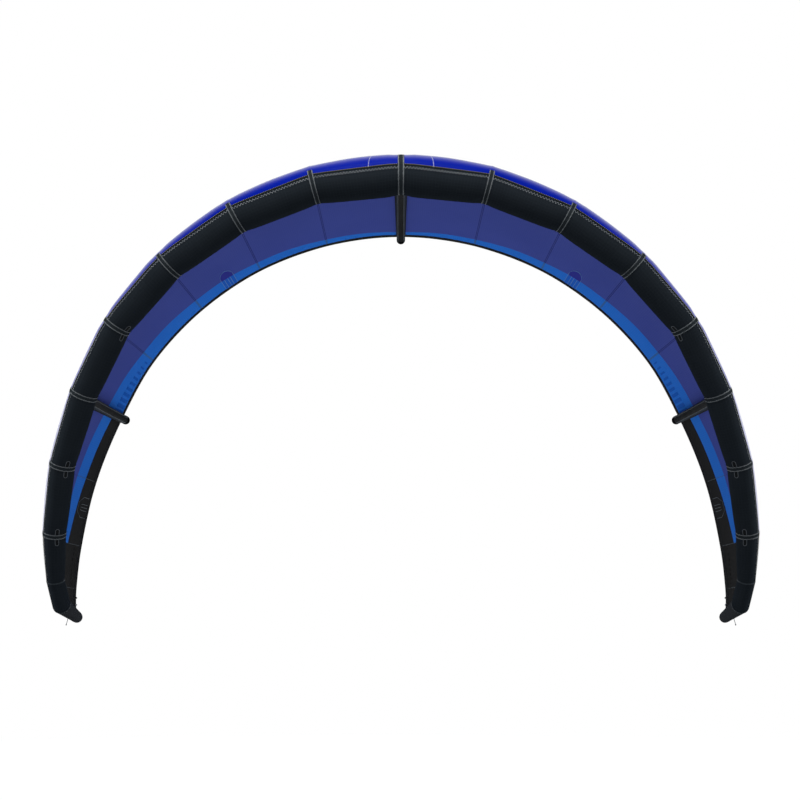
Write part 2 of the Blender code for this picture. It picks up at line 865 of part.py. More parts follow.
def add_tab(place_name):
    """Strip of webbing with round ends."""
    half = tab_width / 2
    reach = tab_length / 2 - half
    outline = []
    for sign in (1, -1):
        for k in range(tab_arc_steps + 1):
            angle = math.pi * (k / tab_arc_steps - 0.5)
            outline.append((sign * (reach + half * math.cos(angle)),
                            sign * half * math.sin(angle)))
    name = "bridle_tab_" + place_name + "_right"
    return add_plate(name, outline, tab_thickness, tab_matrix(place_name), parts)


def pigtail_exit():
    """Lowest point of the tip tube where the cord leaves it."""
    run = len(directions) - 1
    radius = (seam_radius(run) * (1 - pigtail_place_share)
              + seam_radius(run + 1) * pigtail_place_share)
    centre = axis_points[run].lerp(axis_points[run + 1], pigtail_place_share)
    direction = directions[run]
    down = Vector((0, 0, -1))
    down = (down - direction * down.dot(direction)).normalized()
    return centre + down * (radius + pigtail_exit_gap + pigtail_radius * abs(direction.z))


def add_pigtail():
    corners = [Vector(p) for p in pigtail_route]
    ghosts = [corners[0] * 2 - corners[1]] + corners + [corners[-1] * 2 - corners[-2]]
    points = []
    per_span = pigtail_points // (len(corners) - 1)
    for k in range(len(corners) - 1):
        for step in range(per_span):
            points.append(smooth_between(*ghosts[k:k + 4], step / per_span))
    points.append(corners[-1])
    knot = pigtail_knot_radius / pigtail_radius
    radii = [1] * len(points)
    radii[-4:] = [1, knot, knot, 1]
    place = Matrix.Translation(pigtail_exit())
    return add_cord("tip_pigtail_right", points, radii, pigtail_radius, place, parts)


def add_leading_edge_bladder():
    """Air bladder of the whole tube, closed at the tips, with a port for each fitting."""
    seams = list(range(-len(directions), len(directions) + 1))
    inset = -(casing_wall + bladder_clearance)
    mesh = grid_mesh("leading_edge_bladder", [ring(i, inset, bladder_sides) for i in seams],
                     True)
    close_ends(mesh, bladder_sides, True, True)
    turn_outwards(mesh)
    bladder = add_object("leading_edge_bladder", mesh, parts)
    add_wall(bladder, bladder_wall, -1)
    freeze(bladder)
    ports = [valve_hole("valve_hole_bladder")]
    for side, i in strut_seams.items():
        port = hose_hole(side, i, True, hose_bore_radius)
        ports.append(port)
        if i > 0:
            left = add_object(port.name + "_left", port.data, cutters)
            left.matrix_world = mirror_x @ port.matrix_world @ mirror_x
            ports.append(left)
    for port in ports:
        add_boolean(bladder, port, "DIFFERENCE")
    freeze(bladder)
    smooth_shade(bladder, smooth_angle_deg)
    return bladder


# Assembly

def pair(thing, finish):
    """Paint a right-hand piece and make its left-hand twin."""
    paint(thing, finish)
    mirrored(thing, thing.name.replace("_right", "_left"), finish)


def build_leading_edge():
    ports = {}
    for side, i in strut_seams.items():
        run, _ = split_place(hose_place(i))
        ports[run] = hose_hole(side, i, True, hose_radius + hose_clearance)
    for i in range(tip_seam):
        name = "leading_edge_casing_%d_right" % (i + 1)
        casing = add_casing(name, (i, i + 1), False)
        paint(casing, casing_finish)
        if i > 0 and i in ports:
            add_boolean(casing, ports[i], "DIFFERENCE")
        freeze(casing)
        mirrored(casing, name.replace("_right", "_left"), casing_finish)
        if i == 0:
            add_boolean(casing, ports[i], "DIFFERENCE")
            add_boolean(casing, valve_hole("valve_hole_casing"), "DIFFERENCE")
            freeze(casing)
        smooth_shade(casing, smooth_angle_deg)
    pair(add_casing("leading_edge_tip_right", (tip_seam, last_seam, last_seam + 1), True),
         casing_finish)
    paint(add_leading_edge_bladder(), bladder_finish)


def build_canopy():
    paint(add_canopy_panel("canopy_panel_centre", -1, 1), blue_cloth_finish)
    for i in range(1, tip_seam - 1):
        finish = blue_cloth_finish if i < black_cloth_seam else black_cloth_finish
        pair(add_canopy_panel("canopy_panel_%d_right" % (i + 1), i, i + 1), finish)
    pair(add_canopy_panel("canopy_panel_tip_right", tip_seam - 1, last_seam),
         black_cloth_finish)


def build_struts():
    for side, i in strut_seams.items():
        casing, bladder = add_strut(side, i)
        hose = add_hose(side, i)
        frame, lever = add_clip(side, i)
        group = ((casing, strut_finish), (bladder, bladder_finish), (hose, hose_finish),
                 (frame, clip_finish), (lever, lever_finish))
        for thing, finish in group:
            if i == 0:
                paint(thing, finish)
            else:
                pair(thing, finish)


def build_fittings():
    body, cap = add_valve()
    paint(body, valve_finish)
    paint(cap, cap_finish)
    for place_name in tab_seams:
        pair(add_tab(place_name), webbing_finish)
    pair(add_pigtail(), pigtail_finish)


clear_scene()
parts = add_collection("kitesurfing_kite")
cutters = add_collection("cutters")
directions = tube_directions()
axis_points = tube_points()
build_leading_edge()
build_canopy()
build_struts()
build_fittings()
for cutter in cutters.objects:
    cutter.hide_render = True
    cutter.display_type = "WIRE"
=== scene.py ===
import math

import bmesh
import bpy
import numpy as np
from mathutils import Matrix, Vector


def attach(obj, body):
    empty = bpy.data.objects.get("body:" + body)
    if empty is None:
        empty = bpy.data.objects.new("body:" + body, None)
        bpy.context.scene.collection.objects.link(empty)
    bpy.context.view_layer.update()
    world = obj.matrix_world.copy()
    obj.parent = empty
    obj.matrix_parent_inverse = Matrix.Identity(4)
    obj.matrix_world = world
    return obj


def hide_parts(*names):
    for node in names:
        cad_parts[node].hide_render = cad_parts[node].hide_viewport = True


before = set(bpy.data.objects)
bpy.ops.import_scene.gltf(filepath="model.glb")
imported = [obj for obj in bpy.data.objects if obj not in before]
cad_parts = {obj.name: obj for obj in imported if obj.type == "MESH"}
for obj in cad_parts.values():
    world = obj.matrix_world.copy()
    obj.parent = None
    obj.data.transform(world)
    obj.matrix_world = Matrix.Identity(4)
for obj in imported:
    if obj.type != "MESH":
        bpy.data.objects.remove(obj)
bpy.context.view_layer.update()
print("frame loaded:", len(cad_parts), "nodes")

# The arch, with the values that the solids were made from. Angles are in degrees.
arch = {
    "segmentLength": 0.3357,
    "segmentShares": (1.203, 1.162, 1.144, 1.12, 1.09, 1.09, 1.043, 0.727, 0.408, 1.013),
    "droop": (6.4, 21.0, 34.9, 48.2, 62.3, 70.5, 80.5, 88.1, 100.0, 109.0),
    "sweep": (2.0, 4.5, 7.5, 10.7, 15.5, 19.5, 21.0, 23.0, 26.0, 78.5),
    "tubeRadius": 0.0975,
    "radiusShares": (1, 0.921, 0.875, 0.798, 0.72, 0.687, 0.631, 0.573, 0.44, 0.437, 0.285),
    "chord": 1.81,
    "chordShares": (1, 1.003, 0.972, 0.928, 0.86, 0.77, 0.638, 0.494, 0.37, 0.25),
    "pitch": (0, 0, 0, 0, 0.6, 0.7, 1.8, 3.4, 3.8, 8.5),
    "clothStart": (22.5, 24, 27.5, 38.5, 49, 57, 62, 66, 70, 75),  # up from straight ahead
    "camberFrontShare": 0.4,
    "blendShare": 0.28,
    "clothGap": 0.0016,
    "lastSeam": 9,
    "end": 10,
    # read from the edges in the photo, where the cloth leaves the solids by a few millimetres
    "frontSlopes": (0.24, 0.253, 0.254, 0.247, 0.24, 0.272, 0.3, 0.3, 0.26, 0.17),
    "billow": (0.0085, 0.0085, 0.008, 0.0055, 0.004, 0.0025, 0.0015, 0.0015, 0.001, 0),
    "settle": 0.005,  # how far the trailing edge hangs
    "settleRamp": (1.3, 0.3),  # place from which it hangs in full, and its share in the middle
    "edgeOut": (0, 0, 0, 0, 0, 0, 0, 0.004, 0.009, 0.0155),
    "bandPinch": (0.008, 0.003, 0.003, 0.003, 0.002, 0.002, 0.002, 0.002, 0.0005, 0, 0),
    "cornerCut": (0, 0, 0.002, 0.004, 0.0065, 0, 0, 0, 0, 0, 0),  # on the outer side only
    "pinchReach": 0.04,
    "frontSwell": (0.0075, 0.006, 0.0045, 0.001, 0, 0, 0, 0, 0, 0),  # of the cloth over the tube
}
yAxis = np.array([0.0, 1.0, 0.0])
mirror = np.array([-1.0, 1.0, 1.0])
sides = {"right": 1, "left": -1}


def unit(v):
    return v / np.linalg.norm(v, axis=-1, keepdims=True)


def between(pair, share):
    return pair[0] + (pair[1] - pair[0]) * share


droop, sweep = np.radians(arch["droop"]), np.radians(arch["sweep"])
lengthDirs = np.stack([np.cos(sweep) * np.cos(droop), np.sin(sweep),
                       -np.cos(sweep) * np.sin(droop)], 1)
segmentLengths = arch["segmentLength"] * np.array(arch["segmentShares"])
seamPoints = np.vstack([np.zeros(3), np.cumsum(lengthDirs * segmentLengths[:, None], 0)])
seamTangents = unit(np.vstack([[1, 0, 0], unit(lengthDirs[:-1] + lengthDirs[1:]),
                               lengthDirs[-1:]]))
seamNormals = unit(np.cross(seamTangents, yAxis))
seamFronts = np.cross(seamTangents, seamNormals)
seamRadii = arch["tubeRadius"] * np.array(arch["radiusShares"])


def seamShare(values, u):  # seam before a place, and the share of the way to the next
    u = np.abs(np.asarray(u, float))
    i = np.clip(np.floor(u).astype(int), 0, len(values) - 2)
    return i, (u - i).reshape(u.shape + (1,) * (values.ndim - 1))


def linearAt(values, u):  # straight line between the values at the two nearest seams
    values = np.asarray(values, float)
    i, w = seamShare(values, u)
    return values[i] * (1 - w) + values[i + 1] * w


# Catmull-Rom cubic from the second to the third of four points in a row.
def catmullRom(points, i, w):
    a, b, c, d = (points[i + k] for k in range(4))
    return (2 * b + (c - a) * w + (2 * a - 5 * b + 4 * c - d) * w**2
            + (3 * b - a - 3 * c + d) * w**3) / 2


# Smooth curve through the values at seams 0 to 9, with the one before seam 0 given.
def smoothAt(values, before, u):
    values = np.asarray(values, float)[:arch["end"]]
    i, w = seamShare(values, u)
    return catmullRom(np.concatenate([[before], values, [values[-1] * 2 - values[-2]]]), i, w)


def curveThrough(corners, steps):  # the same through points, with a ghost point at each end
    corners = np.asarray(corners, float)
    padded = np.concatenate([[corners[0] * 2 - corners[1]], corners,
                             [corners[-1] * 2 - corners[-2]]])
    s = np.linspace(0, len(corners) - 1, steps)
    i = np.minimum(s.astype(int), len(corners) - 2)
    return catmullRom(padded, i, (s - i)[:, None])


def runOf(u):  # number of the straight length that a place is on
    return np.clip(np.floor(np.abs(u)).astype(int), 0, arch["lastSeam"])


# Mitred ring at a seam: the radius is divided by the sine of the angle between arm and tube.
def seamRing(i, angle, extra):
    arm = (seamFronts[i][:, None, :] * np.cos(angle)[..., None]
           + seamNormals[i][:, None, :] * np.sin(angle)[..., None])
    along = lengthDirs[np.minimum(i, arch["lastSeam"])][:, None, :]
    slant = (arm * along).sum(-1) * (i < arch["end"])[:, None]
    reach = (seamRadii[i][:, None] + extra) / np.sqrt(1 - slant**2)
    return seamPoints[i][:, None, :] + arm * reach[..., None]


# Values of the seams that die away from each of them by a bell curve.
def bellAt(u, key):
    i = runOf(u)
    w, length, values = np.abs(u) - i, segmentLengths[i], np.array(arch[key])
    before = np.exp(-(w * length / arch["pinchReach"]) ** 2)
    after = np.exp(-((1 - w) * length / arch["pinchReach"]) ** 2)
    return values[i] * before + values[i + 1] * after


# Point of the tube: a straight line between the rings of two seams, at one angle, drawn in
# towards the axis by the pinch over the radius, and by the corner cut where the sine is positive.
# The angle is 0 straight ahead and a quarter turn outwards; it may differ from place to place.
def tubeAt(u, angle, extra):
    u = np.atleast_1d(np.asarray(u, float))
    angle = np.broadcast_to(angle, (len(u), np.shape(angle)[-1]))
    i = runOf(u)
    w = (np.abs(u) - i)[:, None, None]
    points = seamRing(i, angle, extra) * (1 - w) + seamRing(i + 1, angle, extra) * w
    axis = (seamPoints[i] * (1 - w[:, 0]) + seamPoints[i + 1] * w[:, 0])[:, None, :]
    drawn = (bellAt(u, "bandPinch")[:, None]
             + bellAt(u, "cornerCut")[:, None] * np.clip(np.sin(angle), 0, 1))
    points = points - (points - axis) * (drawn / linearAt(seamRadii, u)[:, None])[..., None]
    points[..., 0] *= np.where(u < 0, -1, 1)[:, None]
    return points


def clothStartAt(u):
    return np.radians(linearAt(arch["clothStart"], u))


def chordAt(u):
    return arch["chord"] * smoothAt(arch["chordShares"], arch["chordShares"][1], u)


# Underside of the canopy. Below 0, t goes round the tube from the front edge (-1) to its top, and
# swells off it between seams. From 0 to 1 it is a share of the chord: the height is slope times a
# cubic camber, the arch turns from straight lengths to a smooth curve, each panel swells like a
# sine between seams, and the trailing edge hangs or stands out with the square of the share.
def clothAt(u, t, extra):
    u = np.atleast_1d(np.asarray(u, float))
    t = np.broadcast_to(t, (len(u), np.shape(t)[-1]))
    wrap = np.clip(t, -1, 0)
    angle = math.pi / 2 + (math.pi / 2 - clothStartAt(u)[:, None]) * wrap
    hump = np.sin(math.pi * np.abs(u)) ** 2
    swell = (np.array(arch["frontSwell"])[runOf(u)] * hump)[:, None]
    swell = swell * np.sin(math.pi / 2 * (1 + wrap)) ** 2
    points = tubeAt(np.abs(u), angle, arch["clothGap"] + extra + swell)
    x = np.maximum(t, 0)
    chord = chordAt(u)[:, None]
    normal = unit(linearAt(seamNormals, u))
    along = -np.cross(normal, yAxis)
    s = np.clip(x / arch["blendShare"], 0, 1)
    s = s * s * (3 - 2 * s)
    rise = (linearAt(arch["frontSlopes"], u)[:, None] * chord * x * (1 - x)
            * (1 - arch["camberFrontShare"] * x) - linearAt(seamRadii, u)[:, None] * x)
    billow = np.array(arch["billow"])[runOf(u)] * hump
    rise = rise + billow[:, None] * s * (1 - x**6)
    whole, least = arch["settleRamp"]
    rise = (rise - arch["settle"] * np.clip(np.abs(u) / whole, least, 1)[:, None] * x**2
            + linearAt(arch["edgeOut"], u)[:, None] * x**2
            + (bellAt(u, "cornerCut") + bellAt(u, "bandPinch"))[:, None] * s - swell * s)
    drop = chord * x * np.tan(np.radians(linearAt(arch["pitch"], u)))[:, None]
    rounding = smoothAt(seamPoints, seamPoints[1] * mirror, u) - linearAt(seamPoints, u)
    points = (points + rounding[:, None, :] * s[..., None] + normal[:, None, :] * rise[..., None]
              + yAxis * (chord * x)[..., None] + along[:, None, :] * drop[..., None])
    points[..., 0] *= np.where(u < 0, -1, 1)[:, None]
    return points


# Under and upper grid of a layer on the tube or the cloth, each point with its own place and
# angle or share.
def layers(pointsAt, u, across, lifts, sign=1):
    u, across = np.broadcast_arrays(np.asarray(u, float), np.asarray(across, float))
    lifts = [np.broadcast_to(lift, u.shape).reshape(-1, 1) for lift in lifts]
    return [pointsAt(u.ravel(), across.reshape(-1, 1), lift).reshape(u.shape + (3,))
            * [sign, 1, 1] for lift in lifts]


def placeFrom(i, distance):  # place at a distance from a seam, measured along the tube
    distance = np.asarray(distance, float)
    before = segmentLengths[max(i - 1, 0)]
    after = segmentLengths[min(i, arch["lastSeam"])]
    return i + distance / np.where(distance < 0, before, after)


def runLength(points):  # length along a row of points, from its start
    steps = np.linalg.norm(np.diff(points, axis=0), axis=1)
    return np.concatenate([[0], np.cumsum(steps)])


def ringAngles(count):
    return np.linspace(0, 2 * math.pi, count, endpoint=False)


# Round end: rings that shrink by the cosine as they move ahead by the sine.
def roundEnd(centre, ring, ahead, radius, turn):
    turn = turn[:, None, None]
    return centre + (ring - centre) * np.cos(turn) + ahead * radius * np.sin(turn)


# Meshes from grids of points. The UV map "surface" is in metres along and across a piece.
meshSet = {"mergeDistance": 0.000002, "sharpAngle": 50}


def surfaceUv(along, across):
    return np.stack(np.meshgrid(along, across, indexing="ij"), -1)


def addObject(name, data):
    thing = bpy.data.objects.new(name, data)
    bpy.context.scene.collection.objects.link(thing)
    return thing


def addMesh(name, points, faces, cornerUv, materials, faceMaterial=None, marks=None):
    mesh = bpy.data.meshes.new(name)
    mesh.vertices.add(len(points))
    mesh.vertices.foreach_set("co", np.asarray(points, np.float32).ravel())
    mesh.loops.add(faces.size)
    mesh.loops.foreach_set("vertex_index", faces.ravel().astype(np.int32))
    mesh.polygons.add(len(faces))
    mesh.polygons.foreach_set("loop_start", np.arange(len(faces), dtype=np.int32) * 4)
    for material in materials:
        mesh.materials.append(material)
    if faceMaterial is not None:
        mesh.polygons.foreach_set("material_index", faceMaterial.astype(np.int32))
    mesh.update(calc_edges=True)
    layer = mesh.uv_layers.new(name="surface")
    layer.data.foreach_set("uv", np.asarray(cornerUv, np.float32).ravel())
    for key, values in (marks or {}).items():
        mark = mesh.attributes.new(key, "FLOAT", "POINT")
        mark.data.foreach_set("value", np.asarray(values, np.float32).ravel())
    shape = bmesh.new()
    shape.from_mesh(mesh)
    bmesh.ops.remove_doubles(shape, verts=shape.verts, dist=meshSet["mergeDistance"])
    bmesh.ops.recalc_face_normals(shape, faces=shape.faces)
    shape.to_mesh(mesh)
    shape.free()
    mesh.shade_smooth()
    mesh.set_sharp_from_angle(angle=math.radians(meshSet["sharpAngle"]))
    piece = addObject(name, mesh)
    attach(piece, "kite")
    return piece


# Closed rings, one row each. Rows close too where a wall turns back inside a tube, and a row
# number to leave open keeps the outer and the inner pole of a round end apart.
def ringPiece(name, points, run, girth, material, closeRows=False, openRow=-1, marks=None):
    rows, columns = points.shape[:2]
    starts = np.arange(rows if closeRows else rows - 1)
    j, k = np.meshgrid(starts[starts != openRow], np.arange(columns), indexing="ij")
    corners = [(j, k), (j, k + 1), (j + 1, k + 1), (j + 1, k)]
    faces = np.stack([(a % rows) * columns + b % columns for a, b in corners], -1)
    uv = surfaceUv(run, np.linspace(0, girth, columns + 1))
    cornerUv = np.stack([uv[a, b] for a, b in corners], -2)
    return addMesh(name, points.reshape(-1, 3), faces.reshape(-1, 4), cornerUv,
                   [material], marks=marks)


# Skin with an outer and an inner wall, closed at its last row. Its length is measured at a column.
def skinPiece(name, walls, girth, material, column=0, mark=None):
    run = runLength(walls[0][:, column])
    marks = {key: np.concatenate([values, values[::-1]]) for key, values in (mark or {}).items()}
    return ringPiece(name, np.concatenate([walls[0], walls[1][::-1]]),
                     np.concatenate([run, run[::-1], run[:1]]), girth, material,
                     closeRows=True, openRow=len(run) - 1, marks=marks)


# Closed thin sheet: an under and an upper grid, joined along the four edges.
def sheetPiece(name, grids, uv, slot, materials, marks=None):
    rows, columns = grids[0].shape[:2]
    index = np.arange(rows * columns).reshape(rows, columns)
    low = np.stack([index[:-1, :-1], index[:-1, 1:], index[1:, 1:], index[1:, :-1]],
                   -1).reshape(-1, 4)
    loop = np.concatenate([index[0], index[1:, -1], index[-1, -2::-1], index[-2:0:-1, 0]])
    after = np.roll(loop, -1)
    rim = np.stack([loop, loop + index.size, after + index.size, after], -1)
    faces = np.concatenate([low, low[:, ::-1] + index.size, rim])
    faceMaterial = np.zeros(len(faces))
    faceMaterial[len(low):] = len(materials) - 1
    marksBoth = {key: np.tile(values.ravel(), 2) for key, values in (marks or {}).items()}
    return addMesh(name, np.concatenate([grid.reshape(-1, 3) for grid in grids]), faces,
                   np.tile(uv.reshape(-1, 2), (2, 1))[faces], materials, faceMaterial,
                   marksBoth)


# Round rod along a path: each ring stands on a frame carried on from the ring before it.
def rodPiece(name, path, radii, ringSides, material):
    path = np.asarray(path, float)
    radii = np.broadcast_to(radii, len(path))
    tangents = unit(np.gradient(path, axis=0))
    arm = np.cross(tangents[0], [0.3, 0.1, 0.9])  # any direction across the start
    arms = []
    for tangent in tangents:
        arm = unit(arm - tangent * (arm @ tangent))
        arms.append(arm)
    first = np.array(arms)[:, None, :]
    second = np.cross(tangents, np.array(arms))[:, None, :]
    angle = ringAngles(ringSides)[:, None]
    around = first * np.cos(angle) + second * np.sin(angle)
    rings = path[:, None, :] + radii[:, None, None] * around
    rings = np.concatenate([np.repeat(path[:1, None], ringSides, 1), rings,
                            np.repeat(path[-1:, None], ringSides, 1)])
    run = runLength(path)
    return ringPiece(name, rings, np.concatenate([[0], run, run[-1:]]),
                     2 * math.pi * radii.max(), material)


# Camera, light and floor. The kite hangs in the air as it flies, well above the floor.
cameraSet = {"place": (-0.0046, -9.4657, -1.8025), "tiltUp": 4.611, "lens": 93.735, "sensor": 36}
lightSet = {"sky": "#c4c9d0", "skyStrength": 0.5, "sunStrength": 0.9, "sunSoftness": 26,
            "sunTilt": 20, "sunTurn": -6}
# Square lamps: one above the front of the kite, one under it behind for the hollow side, and one
# beyond each wing for the outer edges.
boxSet = {"soft_box_above": {"place": (-0.25, -2.3, 2.4), "aim": (0, 0, -0.3), "width": 2.4,
                             "power": 95},
          "soft_box_below": {"place": (0, 3.2, -2.9), "aim": (0, 0.6, -0.4), "width": 2.0,
                             "power": 60},
          "soft_box_right": {"place": (4.6, 0.9, -0.5), "aim": (1.2, 0.3, -0.5), "width": 2.0,
                             "power": 95},
          "soft_box_left": {"place": (-4.6, 0.9, -0.5), "aim": (-1.2, 0.3, -0.5), "width": 2.0,
                            "power": 95}}
floorSet = {"radius": 12, "height": -3.5, "sides": 96, "colour": "#929598", "roughness": 0.9,
            "glow": 0.78}
white = (1, 1, 1, 1)


def colour(text):  # sRGB hex to linear light
    srgb = np.array([int(text[i:i + 2], 16) / 255 for i in (1, 3, 5)])
    linear = np.where(srgb <= 0.04045, srgb / 12.92, ((srgb + 0.055) / 1.055) ** 2.4)
    return (*linear, 1)


def setInputs(tree, node, inputs):  # a socket is linked, a value is set
    pairs = inputs.items() if isinstance(inputs, dict) else enumerate(inputs)
    for key, value in pairs:
        if isinstance(value, bpy.types.NodeSocket):
            tree.links.new(value, node.inputs[key])
        else:
            node.inputs[key].default_value = value


# Inputs are in a dictionary by socket, or in the order of the sockets.
def addNode(tree, kind, inputs=(), output=0, **settings):
    node = tree.nodes.new("ShaderNode" + kind)
    for key, value in settings.items():
        setattr(node, key, value)
    setInputs(tree, node, inputs)
    return node.outputs[output] if node.outputs else node


def newMaterial(name):
    material = bpy.data.materials.new(name)
    material.use_nodes = True
    return material, material.node_tree


def addCamera():
    data = bpy.data.cameras.new("photo_camera")
    data.lens, data.sensor_width = cameraSet["lens"], cameraSet["sensor"]
    camera = addObject("photo_camera", data)
    camera.location = cameraSet["place"]
    camera.rotation_euler = (math.radians(90 + cameraSet["tiltUp"]), 0, 0)
    bpy.context.scene.camera = camera


def backdropRays(tree):  # 1 for rays that show the backdrop: seen, mirrored or let through
    path = addNode(tree, "LightPath").node.outputs
    share = addNode(tree, "Math", (path["Is Camera Ray"], path["Is Glossy Ray"]),
                    operation="MAXIMUM")
    return addNode(tree, "Math", (share, path["Is Transmission Ray"]), operation="MAXIMUM")


def addSky():
    world = bpy.data.worlds.new("studio_white")
    world.use_nodes = True
    tree = world.node_tree
    tree.nodes.clear()
    sky = addNode(tree, "Background", (colour(lightSet["sky"]), lightSet["skyStrength"]))
    backdrop = addNode(tree, "Background", (white, 1))
    both = addNode(tree, "MixShader", (backdropRays(tree), sky, backdrop))
    addNode(tree, "OutputWorld", (both,)).is_active_output = True
    bpy.context.scene.world = world


def addLamps():
    data = bpy.data.lights.new("key_sun", "SUN")
    data.energy, data.angle = lightSet["sunStrength"], math.radians(lightSet["sunSoftness"])
    sun = addObject("key_sun", data)
    sun.rotation_euler = (math.radians(lightSet["sunTilt"]), 0, math.radians(lightSet["sunTurn"]))
    for name, box in boxSet.items():
        data = bpy.data.lights.new(name, "AREA")
        data.energy, data.size = box["power"], box["width"]
        lamp = addObject(name, data)
        lamp.location = box["place"]
        aim = Vector(box["aim"]) - Vector(box["place"])
        lamp.rotation_euler = aim.to_track_quat("-Z", "Y").to_euler()
        lamp.visible_camera = False


def addFloor():  # one flat round face, white where it is looked at
    material, tree = newMaterial("pale_studio_floor")
    glow = addNode(tree, "Math", (backdropRays(tree), floorSet["glow"]), operation="MULTIPLY")
    setInputs(tree, tree.nodes["Principled BSDF"],
              {"Base Color": colour(floorSet["colour"]), "Roughness": floorSet["roughness"],
               "Emission Color": white, "Emission Strength": glow})
    angle = ringAngles(floorSet["sides"])
    ring = np.stack([np.cos(angle), np.sin(angle), 0 * angle], 1) * floorSet["radius"]
    mesh = bpy.data.meshes.new("studio_floor")
    mesh.from_pydata(ring + [0, 0, floorSet["height"]], [], [list(range(len(ring)))])
    mesh.materials.append(material)
    floor = addObject("studio_floor", mesh)


addCamera()
addSky()
addLamps()
addFloor()
bpy.context.scene.view_settings.view_transform = "Standard"
print("camera, light and floor placed")

# Materials. Base colours are as the eye sees them in plain light.
clothColours = {
    "casing": "#282d32", "casingDark": "#20252a", "casingThread": "#30363b",
    # strip: the darkest tone of the attachment strip, at the canopy's edge; partly its own grey
    # and partly painted shade there
    "strip": "#1c2024", "stitch": "#c4c9cc", "edgeDots": "#8f8a52",
    "band": "#2c3134", "bandStitch": "#b4b9bc",
    "under": "#3f4d9f", "underDark": "#3b4895", "underBand": "#2370d4",
    "top": "#001c9a", "topDark": "#00188e", "topBand": "#1c62d0",
    "black": "#0e0f11", "blackThread": "#151618", "hem": "#0e0f11", "hemEdge": "#34363a",
    "tapeOnBlue": "#222d74", "tapeOnBand": "#386aac", "tapeOnBlack": "#42474b",
    "strut": "#33383c", "strutThread": "#3c4246", "belly": "#141618", "bellyThread": "#1a1c1f",
    "bellyStitch": "#74797d", "patch": "#1c5dc0", "patchTop": "#2b2f8e", "patchLine": "#5f86b8",
    "blackPatch": "#111214", "blackLine": "#5f6569", "tab": "#121416", "tabRib": "#1c1f22",
    "tabStitch": "#7d8388", "film": "#d7dce0", "filmDark": "#c3cad0",
    "ripstopShade": "#000019", "seamShade": "#07070d",
}
# Thread and grid spacings in metres. Real threads are 0.2 to 0.4 mm and ripstop squares are 5 mm;
# a pixel of the picture is 5 mm, so all are drawn coarser to show.
weaveSet = {"casingGrid": 0.0145, "casingLine": 0.0016, "thread": 0.0018, "ripstop": 0.011,
            "ripstopLine": 0.0011, "stitchLength": 0.004}


smooth = {"interpolation_type": "SMOOTHSTEP"}  # from 0 up to 1, or down from 1 if low is higher


def darker(text, share):
    return tuple(c * share for c in colour(text)[:3]) + (1,)


# A colour laid over another by a share times a strength: a socket, a word or a hex text each.
def laid(tree, base, over, share, strength=1):
    share = addNode(tree, "Math", (share, strength), operation="MULTIPLY")
    pair = [colour(clothColours.get(c, c)) if isinstance(c, str) else c for c in (base, over)]
    return addNode(tree, "Mix", {0: share, 6: pair[0], 7: pair[1]}, 2, data_type="RGBA")


def surfaceAxes(tree):  # metres along and across
    uv = addNode(tree, "UVMap", uv_map="surface")
    parts = addNode(tree, "SeparateXYZ", (uv,)).node.outputs
    return parts["X"], parts["Y"]


# Fields of the canopy: the marks blueEdge and blackEdge are metres ahead of the light blue and the
# black cloth.
def inField(tree, name):
    ahead = addNode(tree, "Attribute", (), "Fac", attribute_name=name, attribute_type="GEOMETRY")
    return addNode(tree, "MapRange", (ahead, 0.0006, -0.0006), **smooth)


def cloudAt(tree, scale, detail=4.0):
    place = addNode(tree, "TexCoord", (), "Object")
    return addNode(tree, "TexNoise", {"Vector": place, "Scale": scale, "Detail": detail})


def rowAt(tree, value, place, outer, inner):  # 1 where the value is near a place
    away = addNode(tree, "Math", (value, place), operation="SUBTRACT")
    away = addNode(tree, "Math", (away,), operation="ABSOLUTE")
    return addNode(tree, "MapRange", (away, outer, inner), **smooth)


# Lines a spacing apart along one axis: the value folds to and fro, and is cut near 0.
def linesAt(tree, value, spacing, half):
    folded = addNode(tree, "Math", (value, spacing / 2), operation="PINGPONG")
    return addNode(tree, "MapRange", (folded, half, half * 0.3), **smooth)


def checkLines(tree, x, y, spacing, half):
    return addNode(tree, "Math", [linesAt(tree, axis, spacing, half) for axis in (x, y)],
                   operation="MAXIMUM")


def dashesAt(tree, value, share):  # stitches, with gaps that are longer with the share
    return linesAt(tree, value, weaveSet["stitchLength"] * share, weaveSet["stitchLength"] * 0.6)


# Woven threads: the sine along one thread direction times the sine along the other.
def wovenHeight(tree, a, b, thread=weaveSet["thread"]):
    waves = []
    for axis in (a, b):
        turn = addNode(tree, "Math", (axis, math.pi / thread), operation="MULTIPLY")
        waves.append(addNode(tree, "Math", (turn,), operation="SINE"))
    return addNode(tree, "Math", waves, operation="MULTIPLY")


# Zigzag thread: x folded to and fro gives the height at which the thread runs. The shape is its
# swing to each side, its period and half the thread's width.
def zigzag(tree, x, y, centre, shape):
    swing, period, half = shape
    wave = addNode(tree, "Math", (x, period / 2), operation="PINGPONG")
    wave = addNode(tree, "Math", (wave, 4 * swing / period, centre - swing),
                   operation="MULTIPLY_ADD")
    return rowAt(tree, y, wave, half, half * 0.4)


# The height is the pattern times a number, plus a finer one, and the depth is in metres.
def finished(material, base, roughness, specular, height, depth, more=None):
    tree = material.node_tree
    if isinstance(height, tuple):
        height = addNode(tree, "Math", height, operation="MULTIPLY_ADD")
    if isinstance(roughness, tuple):
        roughness = addNode(tree, "Math", roughness, operation="MULTIPLY_ADD")
    bump = addNode(tree, "Bump", {"Height": height, "Distance": depth}, "Normal")
    setInputs(tree, tree.nodes["Principled BSDF"],
              {"Base Color": base, "Roughness": roughness, "Specular IOR Level": specular,
               "Normal": bump, **(more or {})})
    return material


